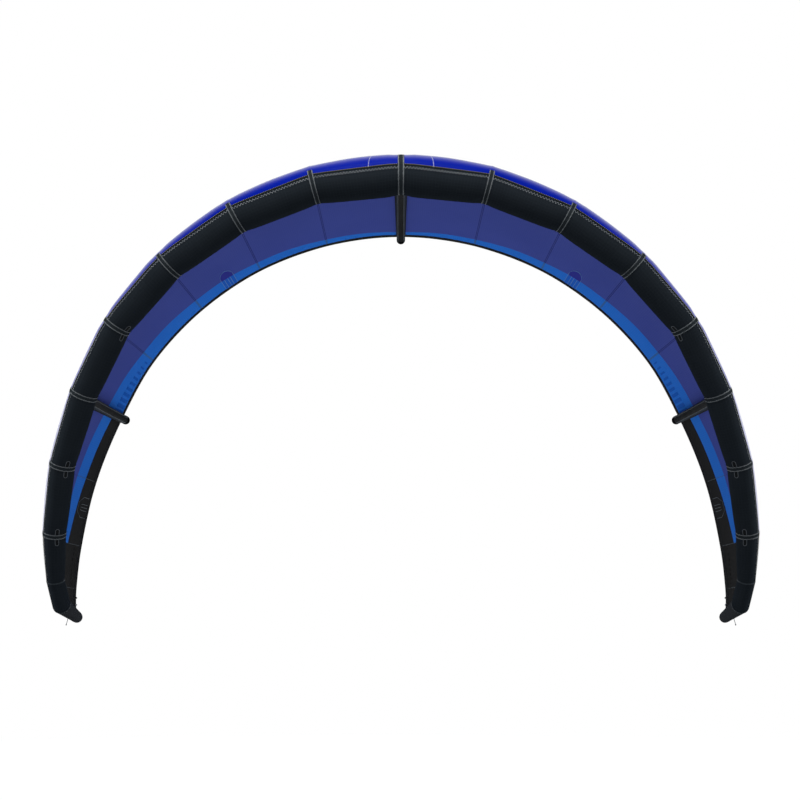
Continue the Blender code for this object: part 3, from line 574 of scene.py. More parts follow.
# Heavy polyester, woven with a grid of thicker threads and coated: near black, without gloss.
def casingMaterial():
    material, tree = newMaterial("coated_woven_polyester")
    x, y = surfaceAxes(tree)
    cloud = cloudAt(tree, 7.0)
    grid = checkLines(tree, x, y, weaveSet["casingGrid"], weaveSet["casingLine"])
    base = laid(tree, "casing", "casingDark", cloud)
    base = laid(tree, base, "casingThread", grid, 0.3)
    return finished(material, base, (cloud, 0.12, 0.36), 0.0,
                    (grid, 0.8, wovenHeight(tree, x, y)), 0.0002)


# Attachment strip: the same polyester, with one zigzag of light polyester thread. Its dark grey is
# darkest at the canopy's edge and fades into the casing's colour down the tube; this is partly the
# strip's own tone and partly painted shade under the cloth edge.
def stripMaterial():
    material, tree = newMaterial("zigzag_sewn_polyester_strip")
    x, y = surfaceAxes(tree)
    thread = zigzag(tree, x, y, stripSet["zigzagAt"], stripSet["zigzag"])
    # painted shade under the cloth edge: 0 at the canopy's edge, rising to 1 where the strip fades
    # into the casing
    clothEdgeShadeFade = addNode(tree, "MapRange", (y, 0.0, stripSet["width"]), **smooth)
    base = laid(tree, "strip", "casing", clothEdgeShadeFade)
    base = laid(tree, base, "stitch", thread, 0.8)
    return finished(material, base, 0.6, 0.0, (thread, 4.0, wovenHeight(tree, x, y)), 0.0002)


# Seam band: polyester webbing held by a row of tight zigzag stitches near each edge.
def bandMaterial():
    material, tree = newMaterial("stitched_polyester_band")
    x, y = surfaceAxes(tree)
    rows = [zigzag(tree, x, y, bandSet["halfWidth"] + side * bandSet["stitchOffset"],
                   bandSet["stitch"]) for side in (-1, 1)]
    thread = addNode(tree, "Math", rows, operation="MAXIMUM")
    ribs = linesAt(tree, y, weaveSet["thread"] * 2, weaveSet["thread"] * 0.5)
    base = laid(tree, "band", "casingDark", ribs, 0.35)
    base = laid(tree, base, "bandStitch", thread, 0.85)
    return finished(material, base, 0.65, 0.0, (thread, 3.0, ribs), 0.0002)


# On the top side, a dotted line of edge stitches runs along the front of the cloth, and a stitch
# line bounds the patch in the middle on each side, curving in with the square of y.
def topStitches(tree, x, y, field):
    spacing, width = canopySet["dotSpacing"], canopySet["dotWidth"]
    line = laid(tree, "hem", "edgeDots", linesAt(tree, x, spacing, spacing * 0.3))
    atFront = addNode(tree, "MapRange", (y, width, width * 0.6), **smooth)
    field = laid(tree, field, line, atFront)
    place = addNode(tree, "TexCoord", (), "Object")
    out = addNode(tree, "Math", (addNode(tree, "SeparateXYZ", (place,)),), operation="ABSOLUTE")
    curve = addNode(tree, "Math", (y, y), operation="MULTIPLY")
    out = addNode(tree, "Math", (curve, canopySet["patchCurve"], out), operation="MULTIPLY_ADD")
    seam = addNode(tree, "Math", (rowAt(tree, out, canopySet["patchHalf"], 0.0022, 0.001),
                                  linesAt(tree, y, spacing, spacing * 0.35)),
                   operation="MULTIPLY")
    inPatch = addNode(tree, "MapRange", (y, *canopySet["patchEnd"]), **smooth)
    seam = addNode(tree, "Math", (seam, inPatch), operation="MULTIPLY")
    return laid(tree, field, "stitch", seam)


# Ripstop cloth: thin nylon with a grid of stronger threads, dyed in fields that meet at sewn
# lines. The calendered top face has sheen, and glares where it is seen at a flat angle.
def canopyMaterial(name, face, roughness, specular):
    material, tree = newMaterial(name)
    x, y = surfaceAxes(tree)
    ripstop = checkLines(tree, x, y, weaveSet["ripstop"], weaveSet["ripstopLine"])
    cloud = cloudAt(tree, 3.0)
    field = laid(tree, face, face + "Dark", cloud)
    field = laid(tree, field, face + "Band", inField(tree, "blueEdge"))
    field = laid(tree, field, "ripstopShade", ripstop, 0.13)
    night = laid(tree, "black", "blackThread", ripstop, 0.35)
    field = laid(tree, field, night, inField(tree, "blackEdge"))
    more = {}
    if face == "top":
        field = topStitches(tree, x, y, field)
        facing = addNode(tree, "LayerWeight", {"Blend": 0.5}, "Facing")
        flat = addNode(tree, "MapRange", (facing, 0.3, 0.62), **smooth)
        glare = addNode(tree, "Math", (flat, 0.9), operation="MULTIPLY")
        more = {"Coat Weight": glare, "Coat Roughness": 0.25, "Sheen Weight": 0.4,
                "Sheen Roughness": 0.3}
    return finished(material, field, (cloud, 0.1, roughness - 0.05), specular, ripstop, 0.0001,
                    more)


# Sewn seam of two panels: cloth folded twice, seen as two darker stitched edges, and greyer over
# the light blue and the black cloth.
def seamTapeMaterial():
    material, tree = newMaterial("felled_ripstop_seam")
    x, y = surfaceAxes(tree)
    edge = rowAt(tree, x, 0.0, tapeSet["halfWidth"] * 0.35, tapeSet["halfWidth"] * 0.6)
    base = laid(tree, "underDark", "tapeOnBlue", edge)
    base = laid(tree, base, "tapeOnBand", inField(tree, "blueEdge"))
    base = laid(tree, base, "tapeOnBlack", inField(tree, "blackEdge"))
    dashes = dashesAt(tree, y, 2)
    base = laid(tree, base, "seamShade", dashes, 0.3)
    return finished(material, base, 0.6, 0.01, dashes, 0.0002)


# Trailing edge hem: black polyester folded over the cloth, with a dark grey cut edge in front.
def hemMaterial():
    material, tree = newMaterial("folded_polyester_hem")
    x, y = surfaceAxes(tree)
    edge = addNode(tree, "MapRange", (y, hemSet["edgeLine"], hemSet["edgeLine"] * 0.5), **smooth)
    stitch = zigzag(tree, x, y, hemSet["width"] * 0.5, hemSet["stitch"])
    base = laid(tree, laid(tree, "hem", "hemEdge", edge), "stitch", stitch, 0.1)
    return finished(material, base, 0.6, 0.005, (stitch, 2.0, wovenHeight(tree, x, y)), 0.0002)


# Patches sewn on the canopy: one more layer of ripstop with light stitch lines at places in metres
# along the patch, over part of its depth. The outline is where the mark edgeDistance is small.
def patchMaterial(name, onBlue, onBand, line, places, reach):
    material, tree = newMaterial(name)
    x, y = surfaceAxes(tree)
    field = laid(tree, onBlue, onBand, inField(tree, "blueEdge"))
    edge = addNode(tree, "Attribute", (), "Fac", attribute_name="edgeDistance",
                   attribute_type="GEOMETRY")
    lines = addNode(tree, "MapRange", (edge, 0.0032, 0.0018), **smooth)
    inReach = addNode(tree, "MapRange", (y, reach, reach * 0.97), **smooth)
    for place in places:
        row = addNode(tree, "Math", (rowAt(tree, x, place, 0.0018, 0.0009), inReach),
                      operation="MULTIPLY")
        lines = addNode(tree, "Math", (lines, row), operation="MAXIMUM")
    dashes = addNode(tree, "Math", (dashesAt(tree, y, 1.5), 0.3, 0.7), operation="MULTIPLY_ADD")
    lines = addNode(tree, "Math", (lines, dashes), operation="MULTIPLY")
    return finished(material, laid(tree, field, line, lines), 0.6, 0.01, lines, 0.0003)


# Strut casing: finely woven grey polyester, with a blacker strip sewn along its underside and a
# row of stitches at each edge of that strip. The mark fromBelly is metres round from its middle.
def strutMaterial():
    material, tree = newMaterial("strut_woven_polyester")
    x, y = surfaceAxes(tree)
    grid = checkLines(tree, x, y, weaveSet["casingGrid"] * 0.7, weaveSet["casingLine"] * 0.7)
    base = laid(tree, "strut", "strutThread", grid, 0.35)
    strip = laid(tree, "belly", "bellyThread", grid, 0.35)
    fromBelly = addNode(tree, "Attribute", (), "Fac", attribute_name="fromBelly",
                        attribute_type="GEOMETRY")
    half = strutSet["bellyHalf"]
    onStrip = addNode(tree, "MapRange", (fromBelly, half + 0.0008, half - 0.0008), **smooth)
    base = laid(tree, base, strip, onStrip)
    row = rowAt(tree, fromBelly, half - strutSet["stitchInside"], 0.0014, 0.0007)
    dashes = addNode(tree, "Math", (dashesAt(tree, x, 1.5), 0.4, 0.2), operation="MULTIPLY_ADD")
    row = addNode(tree, "Math", (row, dashes), operation="MULTIPLY")
    base = laid(tree, base, "bellyStitch", row)
    return finished(material, base, (cloudAt(tree, 14.0), 0.15, 0.45), 0.004,
                    (grid, 0.8, wovenHeight(tree, x, y)), 0.0002)


# Thermoplastic polyurethane film: blown thin, milky, slightly glossy.
def filmMaterial():
    material, tree = newMaterial("polyurethane_film")
    cloud = cloudAt(tree, 18.0, 5.0)
    return finished(material, laid(tree, "film", "filmDark", cloud), 0.3, 0.5, cloud, 0.0004)


# Flat webbing, woven in ribs; a light row of stitches follows the outline.
def tabMaterial():
    material, tree = newMaterial("ribbed_polyester_webbing")
    ribs = linesAt(tree, surfaceAxes(tree)[0], 0.003, 0.001)
    edge = addNode(tree, "Attribute", (), "Fac", attribute_name="edgeDistance",
                   attribute_type="GEOMETRY")
    bounds = [addNode(tree, "MapRange", (edge, low, high), **smooth)
              for low, high in ((0.0002, 0.0006), (0.0032, 0.0024))]
    line = addNode(tree, "Math", bounds, operation="MULTIPLY")
    base = laid(tree, "tab", "tabRib", ribs, 0.4)
    base = laid(tree, base, "tabStitch", line, 0.7)
    return finished(material, base, 0.75, 0.05, (line, 2.0, ribs), 0.0002)


# Plain cloth, moulded plastic or rubber in one tone, with a fine weave or grain.
def plainMaterial(name, tone, roughness, specular, grain, depth):
    material, tree = newMaterial(name)
    cloud = cloudAt(tree, grain, 6.0)
    return finished(material, laid(tree, tone, darker(tone, 0.8), cloud),
                    (cloud, 0.14, roughness - 0.07), specular, cloud, depth)


# Woven or braided goods: threads that slope one way and the other, each rounded.
def braidMaterial(name, tone, pitch, depth):
    material, tree = newMaterial(name)
    axes = surfaceAxes(tree)
    slopes = [addNode(tree, "Math", axes, operation=word) for word in ("ADD", "SUBTRACT")]
    braid = wovenHeight(tree, *slopes, pitch)
    raised = addNode(tree, "MapRange", (braid, -0.6, 0.4), **smooth)
    base = laid(tree, darker(tone, 0.55), tone, raised)
    return finished(material, base, 0.75, 0.08, braid, depth)


# Cords first: the knotted pigtail under each wing tip.
pigtailSet = {"exit": (1.63292, 0.79843, -2.04643), "radii": (0.0015, 0.003), "knotAt": 0.9,
              "knotHalf": 0.06, "steps": 40, "sides": 12,
              "corners": ((0, 0, 0), (0.0005, 0, -0.006), (0.0015, -0.0005, -0.013),
                          (0.004, -0.001, -0.021), (0.0065, -0.001, -0.029),
                          (0.0085, -0.0015, -0.037))}
cordMaterial = braidMaterial("braided_polyester_cord", "#8d9498", 0.0018, 0.0002)


def addPigtails():
    for side, sign in sides.items():
        path = curveThrough(pigtailSet["corners"], pigtailSet["steps"]) + pigtailSet["exit"]
        path = path * [sign, 1, 1]
        toKnot = np.abs(np.linspace(0, 1, len(path)) - pigtailSet["knotAt"])
        swell = np.sqrt(np.clip(1 - (toKnot / pigtailSet["knotHalf"])**2, 0, 1))
        radii = between(pigtailSet["radii"], swell)
        piece = rodPiece("pigtail_" + side, path, radii, pigtailSet["sides"], cordMaterial)
        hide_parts("tip_pigtail_" + side)


addPigtails()
print("pigtails made")

# Leading edge casing: lengths of cloth tube, open at both seams, and a round closed tip.
casingSet = {"wall": 0.0012, "sides": 96, "rows": 22, "seamGap": 0.0006, "bulge": 0.0005,
             "puckers": 22, "puckerHeight": 0.0007, "puckerReach": 0.02, "tipSeam": 8,
             "tipRows": (12, 24, 10)}
casingCloth = casingMaterial()


# The tube, swollen like a sine between seams, and puckered near them by a cosine round it that
# dies away with distance.
def casingAt(u, angle, extra):
    u = np.atleast_1d(np.asarray(u, float))
    w = np.abs(u) - runOf(u)
    toSeam = np.minimum(w, 1 - w) * segmentLengths[runOf(u)]
    bulge = casingSet["bulge"] * np.sin(math.pi * w)[:, None]
    pucker = (casingSet["puckerHeight"] * np.exp(-toSeam / casingSet["puckerReach"])[:, None]
              * (0.5 + 0.5 * np.cos(np.asarray(angle) * casingSet["puckers"])))
    return tubeAt(u, angle, extra + bulge - pucker)


def tipRings(extra, steps, count, first=0.0):  # round end beyond the last seam
    ring = tubeAt([arch["end"]], ringAngles(count), extra)[0]
    turn = np.linspace(first, math.pi / 2, steps + 1)[1:]
    return roundEnd(seamPoints[-1], ring, lengthDirs[-1], seamRadii[-1] + extra, turn)


def addCasings():
    angle, gap = ringAngles(casingSet["sides"]), casingSet["seamGap"] / 2
    for side, sign in sides.items():
        for k in range(1, casingSet["tipSeam"] + 1):
            places = np.linspace(placeFrom(k - 1, gap), placeFrom(k, -gap), casingSet["rows"])
            inner = tubeAt(places[[-1, 0]], angle, -casingSet["wall"])
            rings = np.concatenate([casingAt(places, angle, 0), inner]) * [sign, 1, 1]
            run = (places - places[0]) * segmentLengths[k - 1]
            piece = ringPiece("casing_%d_%s" % (k, side), rings,
                              np.concatenate([run, run[-1:], run[:1], run[:1]]),
                              2 * math.pi * seamRadii[k - 1:k + 1].mean(),
                              casingCloth, closeRows=True)
            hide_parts("leading_edge_casing_%d_%s" % (k, side))
        near, far, end = casingSet["tipRows"]
        first = placeFrom(casingSet["tipSeam"], gap)
        places = np.concatenate([np.linspace(first, 9, near), np.linspace(9, 10, far)[1:]])
        faces = ((casingAt, 0), (tubeAt, -casingSet["wall"]))
        walls = [np.concatenate([pointsAt(places, angle, lift), tipRings(lift, end, len(angle))])
                 * [sign, 1, 1] for pointsAt, lift in faces]
        piece = skinPiece("casing_tip_" + side, walls, 2 * math.pi * seamRadii[9],
                          casingCloth)
        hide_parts("leading_edge_tip_" + side)


# Holes through the casing for the inflation valve and the hoses: casing, centre and radius.
holeSet = {"depth": 0.03, "sides": 32}
holes = {"valve": ("casing_1_right", (0.20054, 0.1007, -0.02249), 0.0135),
         "centre": ("casing_1_right", (0.12911, 0.09672, -0.01448), 0.0066),
         "right": ("casing_5_right", (1.42834, 0.2968, -0.87889), 0.0066),
         "left": ("casing_5_left", (-1.42834, 0.2968, -0.87889), 0.0066)}


def cutHole(piece, centre, radius):
    shape = bmesh.new()
    bmesh.ops.create_cone(shape, cap_ends=True, segments=holeSet["sides"], radius1=radius,
                          radius2=radius, depth=holeSet["depth"])
    mesh = bpy.data.meshes.new("hole")
    shape.to_mesh(mesh)
    shape.free()
    cutter = addObject("hole", mesh)
    cutter.location = centre
    cutter.rotation_euler = (math.radians(90), 0, 0)
    boolean = piece.modifiers.new("hole", "BOOLEAN")
    boolean.operation, boolean.object, boolean.solver = "DIFFERENCE", cutter, "EXACT"
    bpy.context.view_layer.update()
    evaluated = piece.evaluated_get(bpy.context.evaluated_depsgraph_get())
    holed = bpy.data.meshes.new_from_object(evaluated)
    piece.modifiers.clear()
    piece.data = holed
    bpy.data.objects.remove(cutter)


addCasings()
for casing, centre, radius in holes.values():
    cutHole(bpy.data.objects[casing], centre, radius)
print("leading edge casing made")

# Bladder of the leading edge: one film tube, a little smaller than its casing, round at the ends.
bladderSet = {"inset": 0.0042, "sides": 64, "tipRows": 6, "rowsPerSeam": 8}
film = filmMaterial()


def addTubeBladder():
    count, inset = bladderSet["sides"], -bladderSet["inset"]
    places = np.linspace(0, arch["end"], arch["end"] * bladderSet["rowsPerSeam"] + 1)
    half = np.concatenate([tubeAt(places, ringAngles(count), inset),
                           tipRings(inset, bladderSet["tipRows"], count)])
    rings = np.concatenate([half[:0:-1] * mirror, half])
    piece = ringPiece("bladder_of_leading_edge", rings, runLength(rings[:, 0]),
                      2 * math.pi * seamRadii[4], film)
    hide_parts("leading_edge_bladder")


addTubeBladder()

# Seam bands: a strip of webbing round each seam, and a short stub of it over the blue cloth. The
# ends of a band meet under the front of the canopy.
bandSet = {"halfWidth": 0.012, "middleHalfWidth": 0.0145, "tipHalfWidth": 0.0035,
           "lifts": (0.0012, 0.0022), "tipLifts": (0.0012, 0.00154), "stitchOffset": 0.0094,
           "stitch": (0.0022, 0.0062, 0.0013), "rows": 7, "columns": 120, "endsAt": 98}
stubSet = {"reach": 0.026, "topReach": 0.06, "start": -0.001, "lifts": (0.0012, 0.002),
           "columns": 24}
bandCloth = bandMaterial()
bandThin = plainMaterial("narrow_polyester_seam", "#3a4045", 0.7, 0.05, 60.0, 0.0003)


def addBands():
    uvAcross = np.linspace(0, 2 * bandSet["halfWidth"], bandSet["rows"])
    for side, sign in sides.items():
        for i in range(0 if sign > 0 else 1, arch["end"]):
            tip = i >= casingSet["tipSeam"]
            half = bandSet["tipHalfWidth"] if tip else bandSet["halfWidth"]
            half = half if i else bandSet["middleHalfWidth"]
            places = placeFrom(i, np.linspace(-half, half, bandSet["rows"]))[:, None]
            stop = math.radians(bandSet["endsAt"])
            angle = np.linspace(stop - 2 * math.pi, stop, bandSet["columns"])
            if i == arch["lastSeam"]:  # no cloth there, so the ends meet on the inner side
                angle = np.linspace(0, 2 * math.pi, bandSet["columns"])[:-1] - 0.5 * math.pi
            grids = layers(casingAt, places, angle, bandSet["tipLifts" if tip else "lifts"], sign)
            uv = surfaceUv(uvAcross, runLength(grids[0][bandSet["rows"] // 2]))[..., ::-1]
            name = "seam_band_%d_%s" % (i, side) if i else "seam_band_centre"
            sheetPiece(name, grids, uv, "webbing", [bandThin if tip else bandCloth])
            if tip:
                continue
            wrap = (math.pi / 2 - clothStartAt(i)) * seamRadii[i]
            reach = stubSet["reach"] if i else stubSet["topReach"] + wrap
            along = np.linspace(stubSet["start"], reach, stubSet["columns"])
            t = np.where(along < wrap, along / wrap - 1, (along - wrap) / chordAt(i))
            grids = layers(clothAt, places, np.maximum(t, -1), stubSet["lifts"], sign)
            sheetPiece(name.replace("band", "stub"), grids,
                       surfaceUv(uvAcross, along)[..., ::-1], "webbing", [bandCloth])


addBands()

# Round end of each wing tip: a greyer sleeve from the last seam on, a black cap over the end and a
# thin ring of stitches before the cap. A skin starts at a place on the tube, or at a turn in
# degrees on its round end.
endSet = {"under": 0.0001, "ringAt": 9.93, "ringHalf": 0.0011, "ringUpper": 0.0012, "girth": 0.17,
          "ringRun": 0.006}
endSkins = {"sleeve": {"from": 9.03, "turn": 0, "lift": 0.0005, "rows": 20,
                       "cloth": plainMaterial("grey_woven_tip_sleeve", "#37393c", 0.6, 0.0, 60.0,
                                              0.0002)},
            "cap": {"from": None, "turn": 25, "lift": 0.0009, "rows": 8,
                    "cloth": plainMaterial("black_polyester_end_cap", "#050607", 0.6, 0.0, 60.0,
                                           0.0002)}}
tipThread = plainMaterial("grey_stitched_ring", "#4d5357", 0.7, 0.0, 60.0, 0.0002)


def addTipEnds():
    count = casingSet["sides"]
    angle = ringAngles(count)
    for side, sign in sides.items():
        for word, skin in endSkins.items():
            walls = []
            for lift in (skin["lift"], endSet["under"]):
                wall = tipRings(lift, skin["rows"], count, math.radians(skin["turn"]))
                if skin["from"]:
                    along = np.linspace(skin["from"], arch["end"], skin["rows"])
                    wall = np.concatenate([tubeAt(along, angle, lift), wall])
                walls.append(wall * [sign, 1, 1])
            skinPiece("tip_end_%s_%s" % (word, side), walls, endSet["girth"],
                      skin["cloth"])
        across = (endSet["ringAt"]
                  + np.array([-1, 1]) * endSet["ringHalf"] / segmentLengths[arch["lastSeam"]])
        rings = np.concatenate([tubeAt(across, angle, endSet["ringUpper"]),
                                tubeAt(across[::-1], angle, endSet["under"])])
        ringPiece("tip_stitch_ring_" + side, rings * [sign, 1, 1],
                  np.linspace(0, endSet["ringRun"], 5), endSet["girth"], tipThread,
                  closeRows=True)


addTipEnds()

# Attachment strip: a tape along the tube that the front of the canopy is sewn to. It narrows
# with the tube.
stripSet = {"width": 0.026, "underCloth": 0.006, "lifts": (0.0001, 0.0008), "zigzagAt": 0.0165,
            "zigzag": (0.0058, 0.0146, 0.0014), "rowsPerSeam": 16, "columns": 12, "end": 8.96}
stripCloth = stripMaterial()


def placesTo(end, rowsPerSeam):  # even places from one tip to the other
    return np.linspace(-end, end, int(2 * end * rowsPerSeam))


def addAttachmentStrip():
    places = placesTo(stripSet["end"], stripSet["rowsPerSeam"])
    down = np.linspace(stripSet["width"], -stripSet["underCloth"], stripSet["columns"])
    angle = clothStartAt(places)[:, None] - down / arch["tubeRadius"]
    grids = layers(casingAt, places[:, None], angle, stripSet["lifts"])
    uv = surfaceUv(runLength(grids[0][:, stripSet["columns"] // 2]), down)
    sheetPiece("canopy_attachment_strip", grids, uv, "casing_cloth", [stripCloth])


addAttachmentStrip()
print("bands and strip made")

# Canopy: one sheet from tip to tip. Its fields of colour end at distances from the trailing edge,
# and the black one starts in steps at two seams. Values for its stitches are in metres.
canopySet = {"thickness": 0.0007, "rowsPerSeam": 14, "wrapColumns": 12, "chordColumns": 76,
             "crowding": 1.25,  # of the columns towards the front
             "blueFront": (0.072, 0.1, 0.135, 0.181, 0.22, 0.272, 0.28, 0.272, 0.26, 0.25),
             "blackFront": (0, 0, 0, 0, 0, 0.143, 0.154, 0.192, 0.192, 0.192),
             "blackSeams": (5, 7), "stepGap": 0.0005, "farOff": 0.1, "dotSpacing": 0.0085,
             "dotWidth": 0.0036, "patchHalf": 0.149, "patchCurve": 1.8, "patchEnd": (0.32, 0.3),
             "flatShare": 1.02}  # of the flat width over the length along the top of the tube


def canopyMarks(u, fromEdge):
    u = np.abs(u)
    blue = fromEdge - linearAt(canopySet["blueFront"], u)
    black = fromEdge - linearAt(canopySet["blackFront"], u)
    (first, last), far = canopySet["blackSeams"], canopySet["farOff"]
    black = np.where(u < first, far, np.where(u > last, -far, black))
    return {"blueEdge": blue, "blackEdge": black}


def canopyPlaces():
    gap, step = canopySet["stepGap"] / 2, 1 / canopySet["rowsPerSeam"]
    half = np.arange(0, arch["lastSeam"] + 0.5 * step, step)
    joints = [placeFrom(i, d) for i in canopySet["blackSeams"] for d in (-gap, gap)]
    half = np.unique(np.concatenate([half, joints]))
    return np.concatenate([-half[:0:-1], half])


ripstopUnder = canopyMaterial("ripstop_underside", "under", 0.6, 0.01)
ripstopTop = canopyMaterial("ripstop_top_side", "top", 0.28, 0.02)


# The cut area is the sum over cells of their mean width times their mean depth.
def addCanopy():
    places = canopyPlaces()
    chordSteps = np.linspace(0, 1, canopySet["chordColumns"]) ** canopySet["crowding"]
    t = np.concatenate([np.linspace(-1, 0, canopySet["wrapColumns"])[:-1], chordSteps])
    grids = [clothAt(places, t, lift) for lift in (0, canopySet["thickness"])]
    steps = np.linalg.norm(np.diff(grids[0], axis=1), axis=2)
    fromFront = np.concatenate([0 * steps[:, :1], np.cumsum(steps, 1)], 1)
    run = runLength(grids[0][:, canopySet["wrapColumns"] - 1])
    uv = np.stack([np.broadcast_to(run[:, None], fromFront.shape), fromFront], -1)
    marks = canopyMarks(places[:, None], (1 - t) * chordAt(places)[:, None])
    canopy = sheetPiece("canopy_cloth", grids, uv, "blue_canopy_cloth",
                        [ripstopUnder, ripstopTop], marks)
    nodes = [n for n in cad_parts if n.startswith("canopy_panel")]
    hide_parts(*nodes)
    widths = np.linalg.norm(np.diff(grids[0], axis=0), axis=2)
    cells = ((widths[:, 1:] + widths[:, :-1]) / 2) * ((steps[1:] + steps[:-1]) / 2)
    return canopy, (run[-1] * canopySet["flatShare"], fromFront[:, -1].max()), cells.sum()


canopy, canopyFlat, canopyArea = addCanopy()
print("canopy made, flat area %.2f square metres" % canopyArea)


def sewOn(*words):  # a sheet that goes wherever the canopy goes
    sheetPiece(*words)


# Seams between panels: a narrow fold that wraps both faces of the cloth, narrower near the tips.
tapeSet = {"seams": (1, 2, 3, 4, 6, 7, 8), "halfWidth": 0.0052, "lifts": (-0.0005, 0.0012),
           "rows": 4, "columns": (10, 70), "front": -0.98, "back": 0.996, "crowding": 1.2,
           "tipFrom": 6, "tipShare": 0.35}
seamTape = seamTapeMaterial()


def addPanelSeams():
    wrap, chord = tapeSet["columns"]
    t = np.concatenate([np.linspace(tapeSet["front"], 0, wrap)[:-1],
                        np.linspace(0, tapeSet["back"], chord) ** tapeSet["crowding"]])
    for side, sign in sides.items():
        for i in tapeSet["seams"]:
            across = np.linspace(-tapeSet["halfWidth"], tapeSet["halfWidth"], tapeSet["rows"])
            if i >= tapeSet["tipFrom"]:
                across = across * tapeSet["tipShare"]
            places = placeFrom(i, across)[:, None]
            grids = layers(clothAt, places, t, tapeSet["lifts"], sign)
            marks = canopyMarks(i - 0.001 + 0 * places, (1 - t) * chordAt(places))
            sewOn("panel_seam_%d_%s" % (i, side), grids, surfaceUv(across, runLength(grids[0][1])),
                  "blue_canopy_cloth", [seamTape, ripstopTop], marks)


addPanelSeams()

# Trailing edge hem: a strip folded round the edge of the cloth, tip to tip.
hemSet = {"width": 0.0345, "beyond": 0.0012, "lifts": (-0.0008, 0.0016), "columns": 10,
          "rowsPerSeam": 24, "end": 8.995, "edgeLine": 0.0035, "stitch": (0.003, 0.009, 0.0009),
          "roundFrom": 0.9, "leastRound": 0.02}
hemCloth = hemMaterial()


# Its two faces close on their middle at the fold, like a circle.
def addHem():
    places = placesTo(hemSet["end"], hemSet["rowsPerSeam"])
    across = np.linspace(0, 1, hemSet["columns"])
    fromEdge = hemSet["width"] - across * (hemSet["width"] + hemSet["beyond"])
    fold = np.clip((across - hemSet["roundFrom"]) / (1 - hemSet["roundFrom"]), 0, 1)
    closing = np.sqrt(np.clip(1 - fold**2, hemSet["leastRound"], 1))
    middle = sum(hemSet["lifts"]) / 2
    lifts = [middle + (lift - middle) * closing for lift in hemSet["lifts"]]
    grids = layers(clothAt, places[:, None], 1 - fromEdge / chordAt(places)[:, None], lifts)
    sewOn("trailing_edge_hem", grids, surfaceUv(runLength(grids[0][:, 5]),
                                                across * hemSet["width"]),
          "black_canopy_cloth", [hemCloth])


addHem()

# Patches sewn under the canopy near the trailing edge, with distances from that edge. A patch ends
# at side + round * sqrt(1 - s * s), and past its taper it narrows to a share by a straight line.
patchSet = {"lifts": (-0.0011, 0.0002), "rows": 40, "columns": 24}
patches = {"batten_patch": {"places": (2.36, 2.56), "widthShare": 0.93, "start": 0.033,
                            "side": 0.165, "round": 0.1, "taper": 0.1, "narrow": 1,
                            "outlineShare": 0.4, "slot": "blue_canopy_cloth",
                            "cloth": ("batten_patch_ripstop", "patchTop", "patch", "patchLine"),
                            "lines": (0.0, 0.3, 0.5, 0.75, 1.0), "lineReach": 0.16},
           "corner_patch": {"places": (6.26, 6.56), "widthShare": 1, "start": 0.034,
                            "side": 0.155, "round": 0, "taper": 0.1, "narrow": 0.45,
                            "outlineShare": 1, "slot": "black_canopy_cloth",
                            "cloth": ("corner_patch_polyester", "blackPatch", "blackPatch",
                                      "blackLine"),
                            "lines": (0.35, 0.5, 0.65), "lineReach": 0.12}}


def addPatches():
    a = np.linspace(0, 1, patchSet["rows"])[:, None]
    for name, patch in patches.items():
        first, last = patch["places"]
        far = patch["side"] + patch["round"] * np.sqrt(1 - np.linspace(-1, 1, len(a))**2)[:, None]
        fromEdge = between((patch["start"], far), np.linspace(0, 1, patchSet["columns"]))
        past = np.clip((fromEdge - patch["taper"]) / (far - patch["taper"]), 0, 1)
        u = between(patch["places"], 0.5 + (a - 0.5) * (1 - (1 - patch["narrow"]) * past))
        width = (last - first) * segmentLengths[int(first)] * patch["widthShare"]
        edge = np.minimum(np.minimum(a, 1 - a) * width, (far - fromEdge) * patch["outlineShare"])
        uv = np.stack([np.broadcast_to(a * width, fromEdge.shape), fromEdge], -1)
        t = 1 - fromEdge / chordAt(u)
        cloth = patchMaterial(*patch["cloth"], [width * share for share in patch["lines"]],
                              patch["lineReach"])
        for side, sign in sides.items():
            sewOn(name + "_" + side, layers(clothAt, u, t, patchSet["lifts"], sign), uv,
                  patch["slot"], [cloth], {**canopyMarks(u, fromEdge), "edgeDistance": edge})


addPatches()

# Rows of cloth bars along the trailing edge, sewn on one by one. Pairs go from first to last bar.
barSet = {"lifts": (-0.0009, 0.0002), "spanShare": 0.93}
bars = {"blue": {"places": (4.08, 4.9), "near": (0.07, 0.042), "length": (0.046, 0.12),
                 "pitch": 0.0262, "wide": (0.008, 0.0225),
                 "cloth": plainMaterial("blue_polyester_bar", "#155fc2", 0.6, 0.01, 80.0, 0.0001)},
        "black": {"places": (7.05, 7.95), "near": (0.045, 0.045), "length": (0.05, 0.04),
                  "pitch": 0.022, "wide": (0.013, 0.013),
                  "cloth": plainMaterial("black_polyester_bar", "#0c0d0e", 0.6, 0.01, 80.0,
                                         0.0001)}}


def addBars():
    for word, row in bars.items():
        first, last = row["places"]
        span = segmentLengths[int(first)] * barSet["spanShare"]
        count = int((last - first) * span / row["pitch"])
        for side, sign in sides.items():
            for k in range(count):
                s = k / (count - 1)
                near, length, wide = (between(row[key], s) for key in ("near", "length", "wide"))
                u = between(row["places"], s) + np.array([0, 0.5, 1]) * wide / span
                fromEdge = near + length * np.linspace(0, 1, 4)
                grids = layers(clothAt, u[:, None], 1 - fromEdge / chordAt(u)[:, None],
                               barSet["lifts"], sign)
                sewOn("%s_bar_%d_%s" % (word, k + 1, side), grids,
                      surfaceUv(np.linspace(0, wide, 3), fromEdge), word + "_canopy_cloth",
                      [row["cloth"]])


addBars()

# Leech line at each wing tip: a dark knob on the edge and the pale knot of the line under it.
leechSet = {"rings": 10, "sides": 20, "flatness": 0.8}
leechEnds = {"knob": {"place": 8.26, "radius": 0.0055, "forward": 0.0033, "tone": "#101113"},
             "knot": {"place": 8.5, "radius": 0.006, "forward": -0.005, "tone": "#e6e8e5"}}


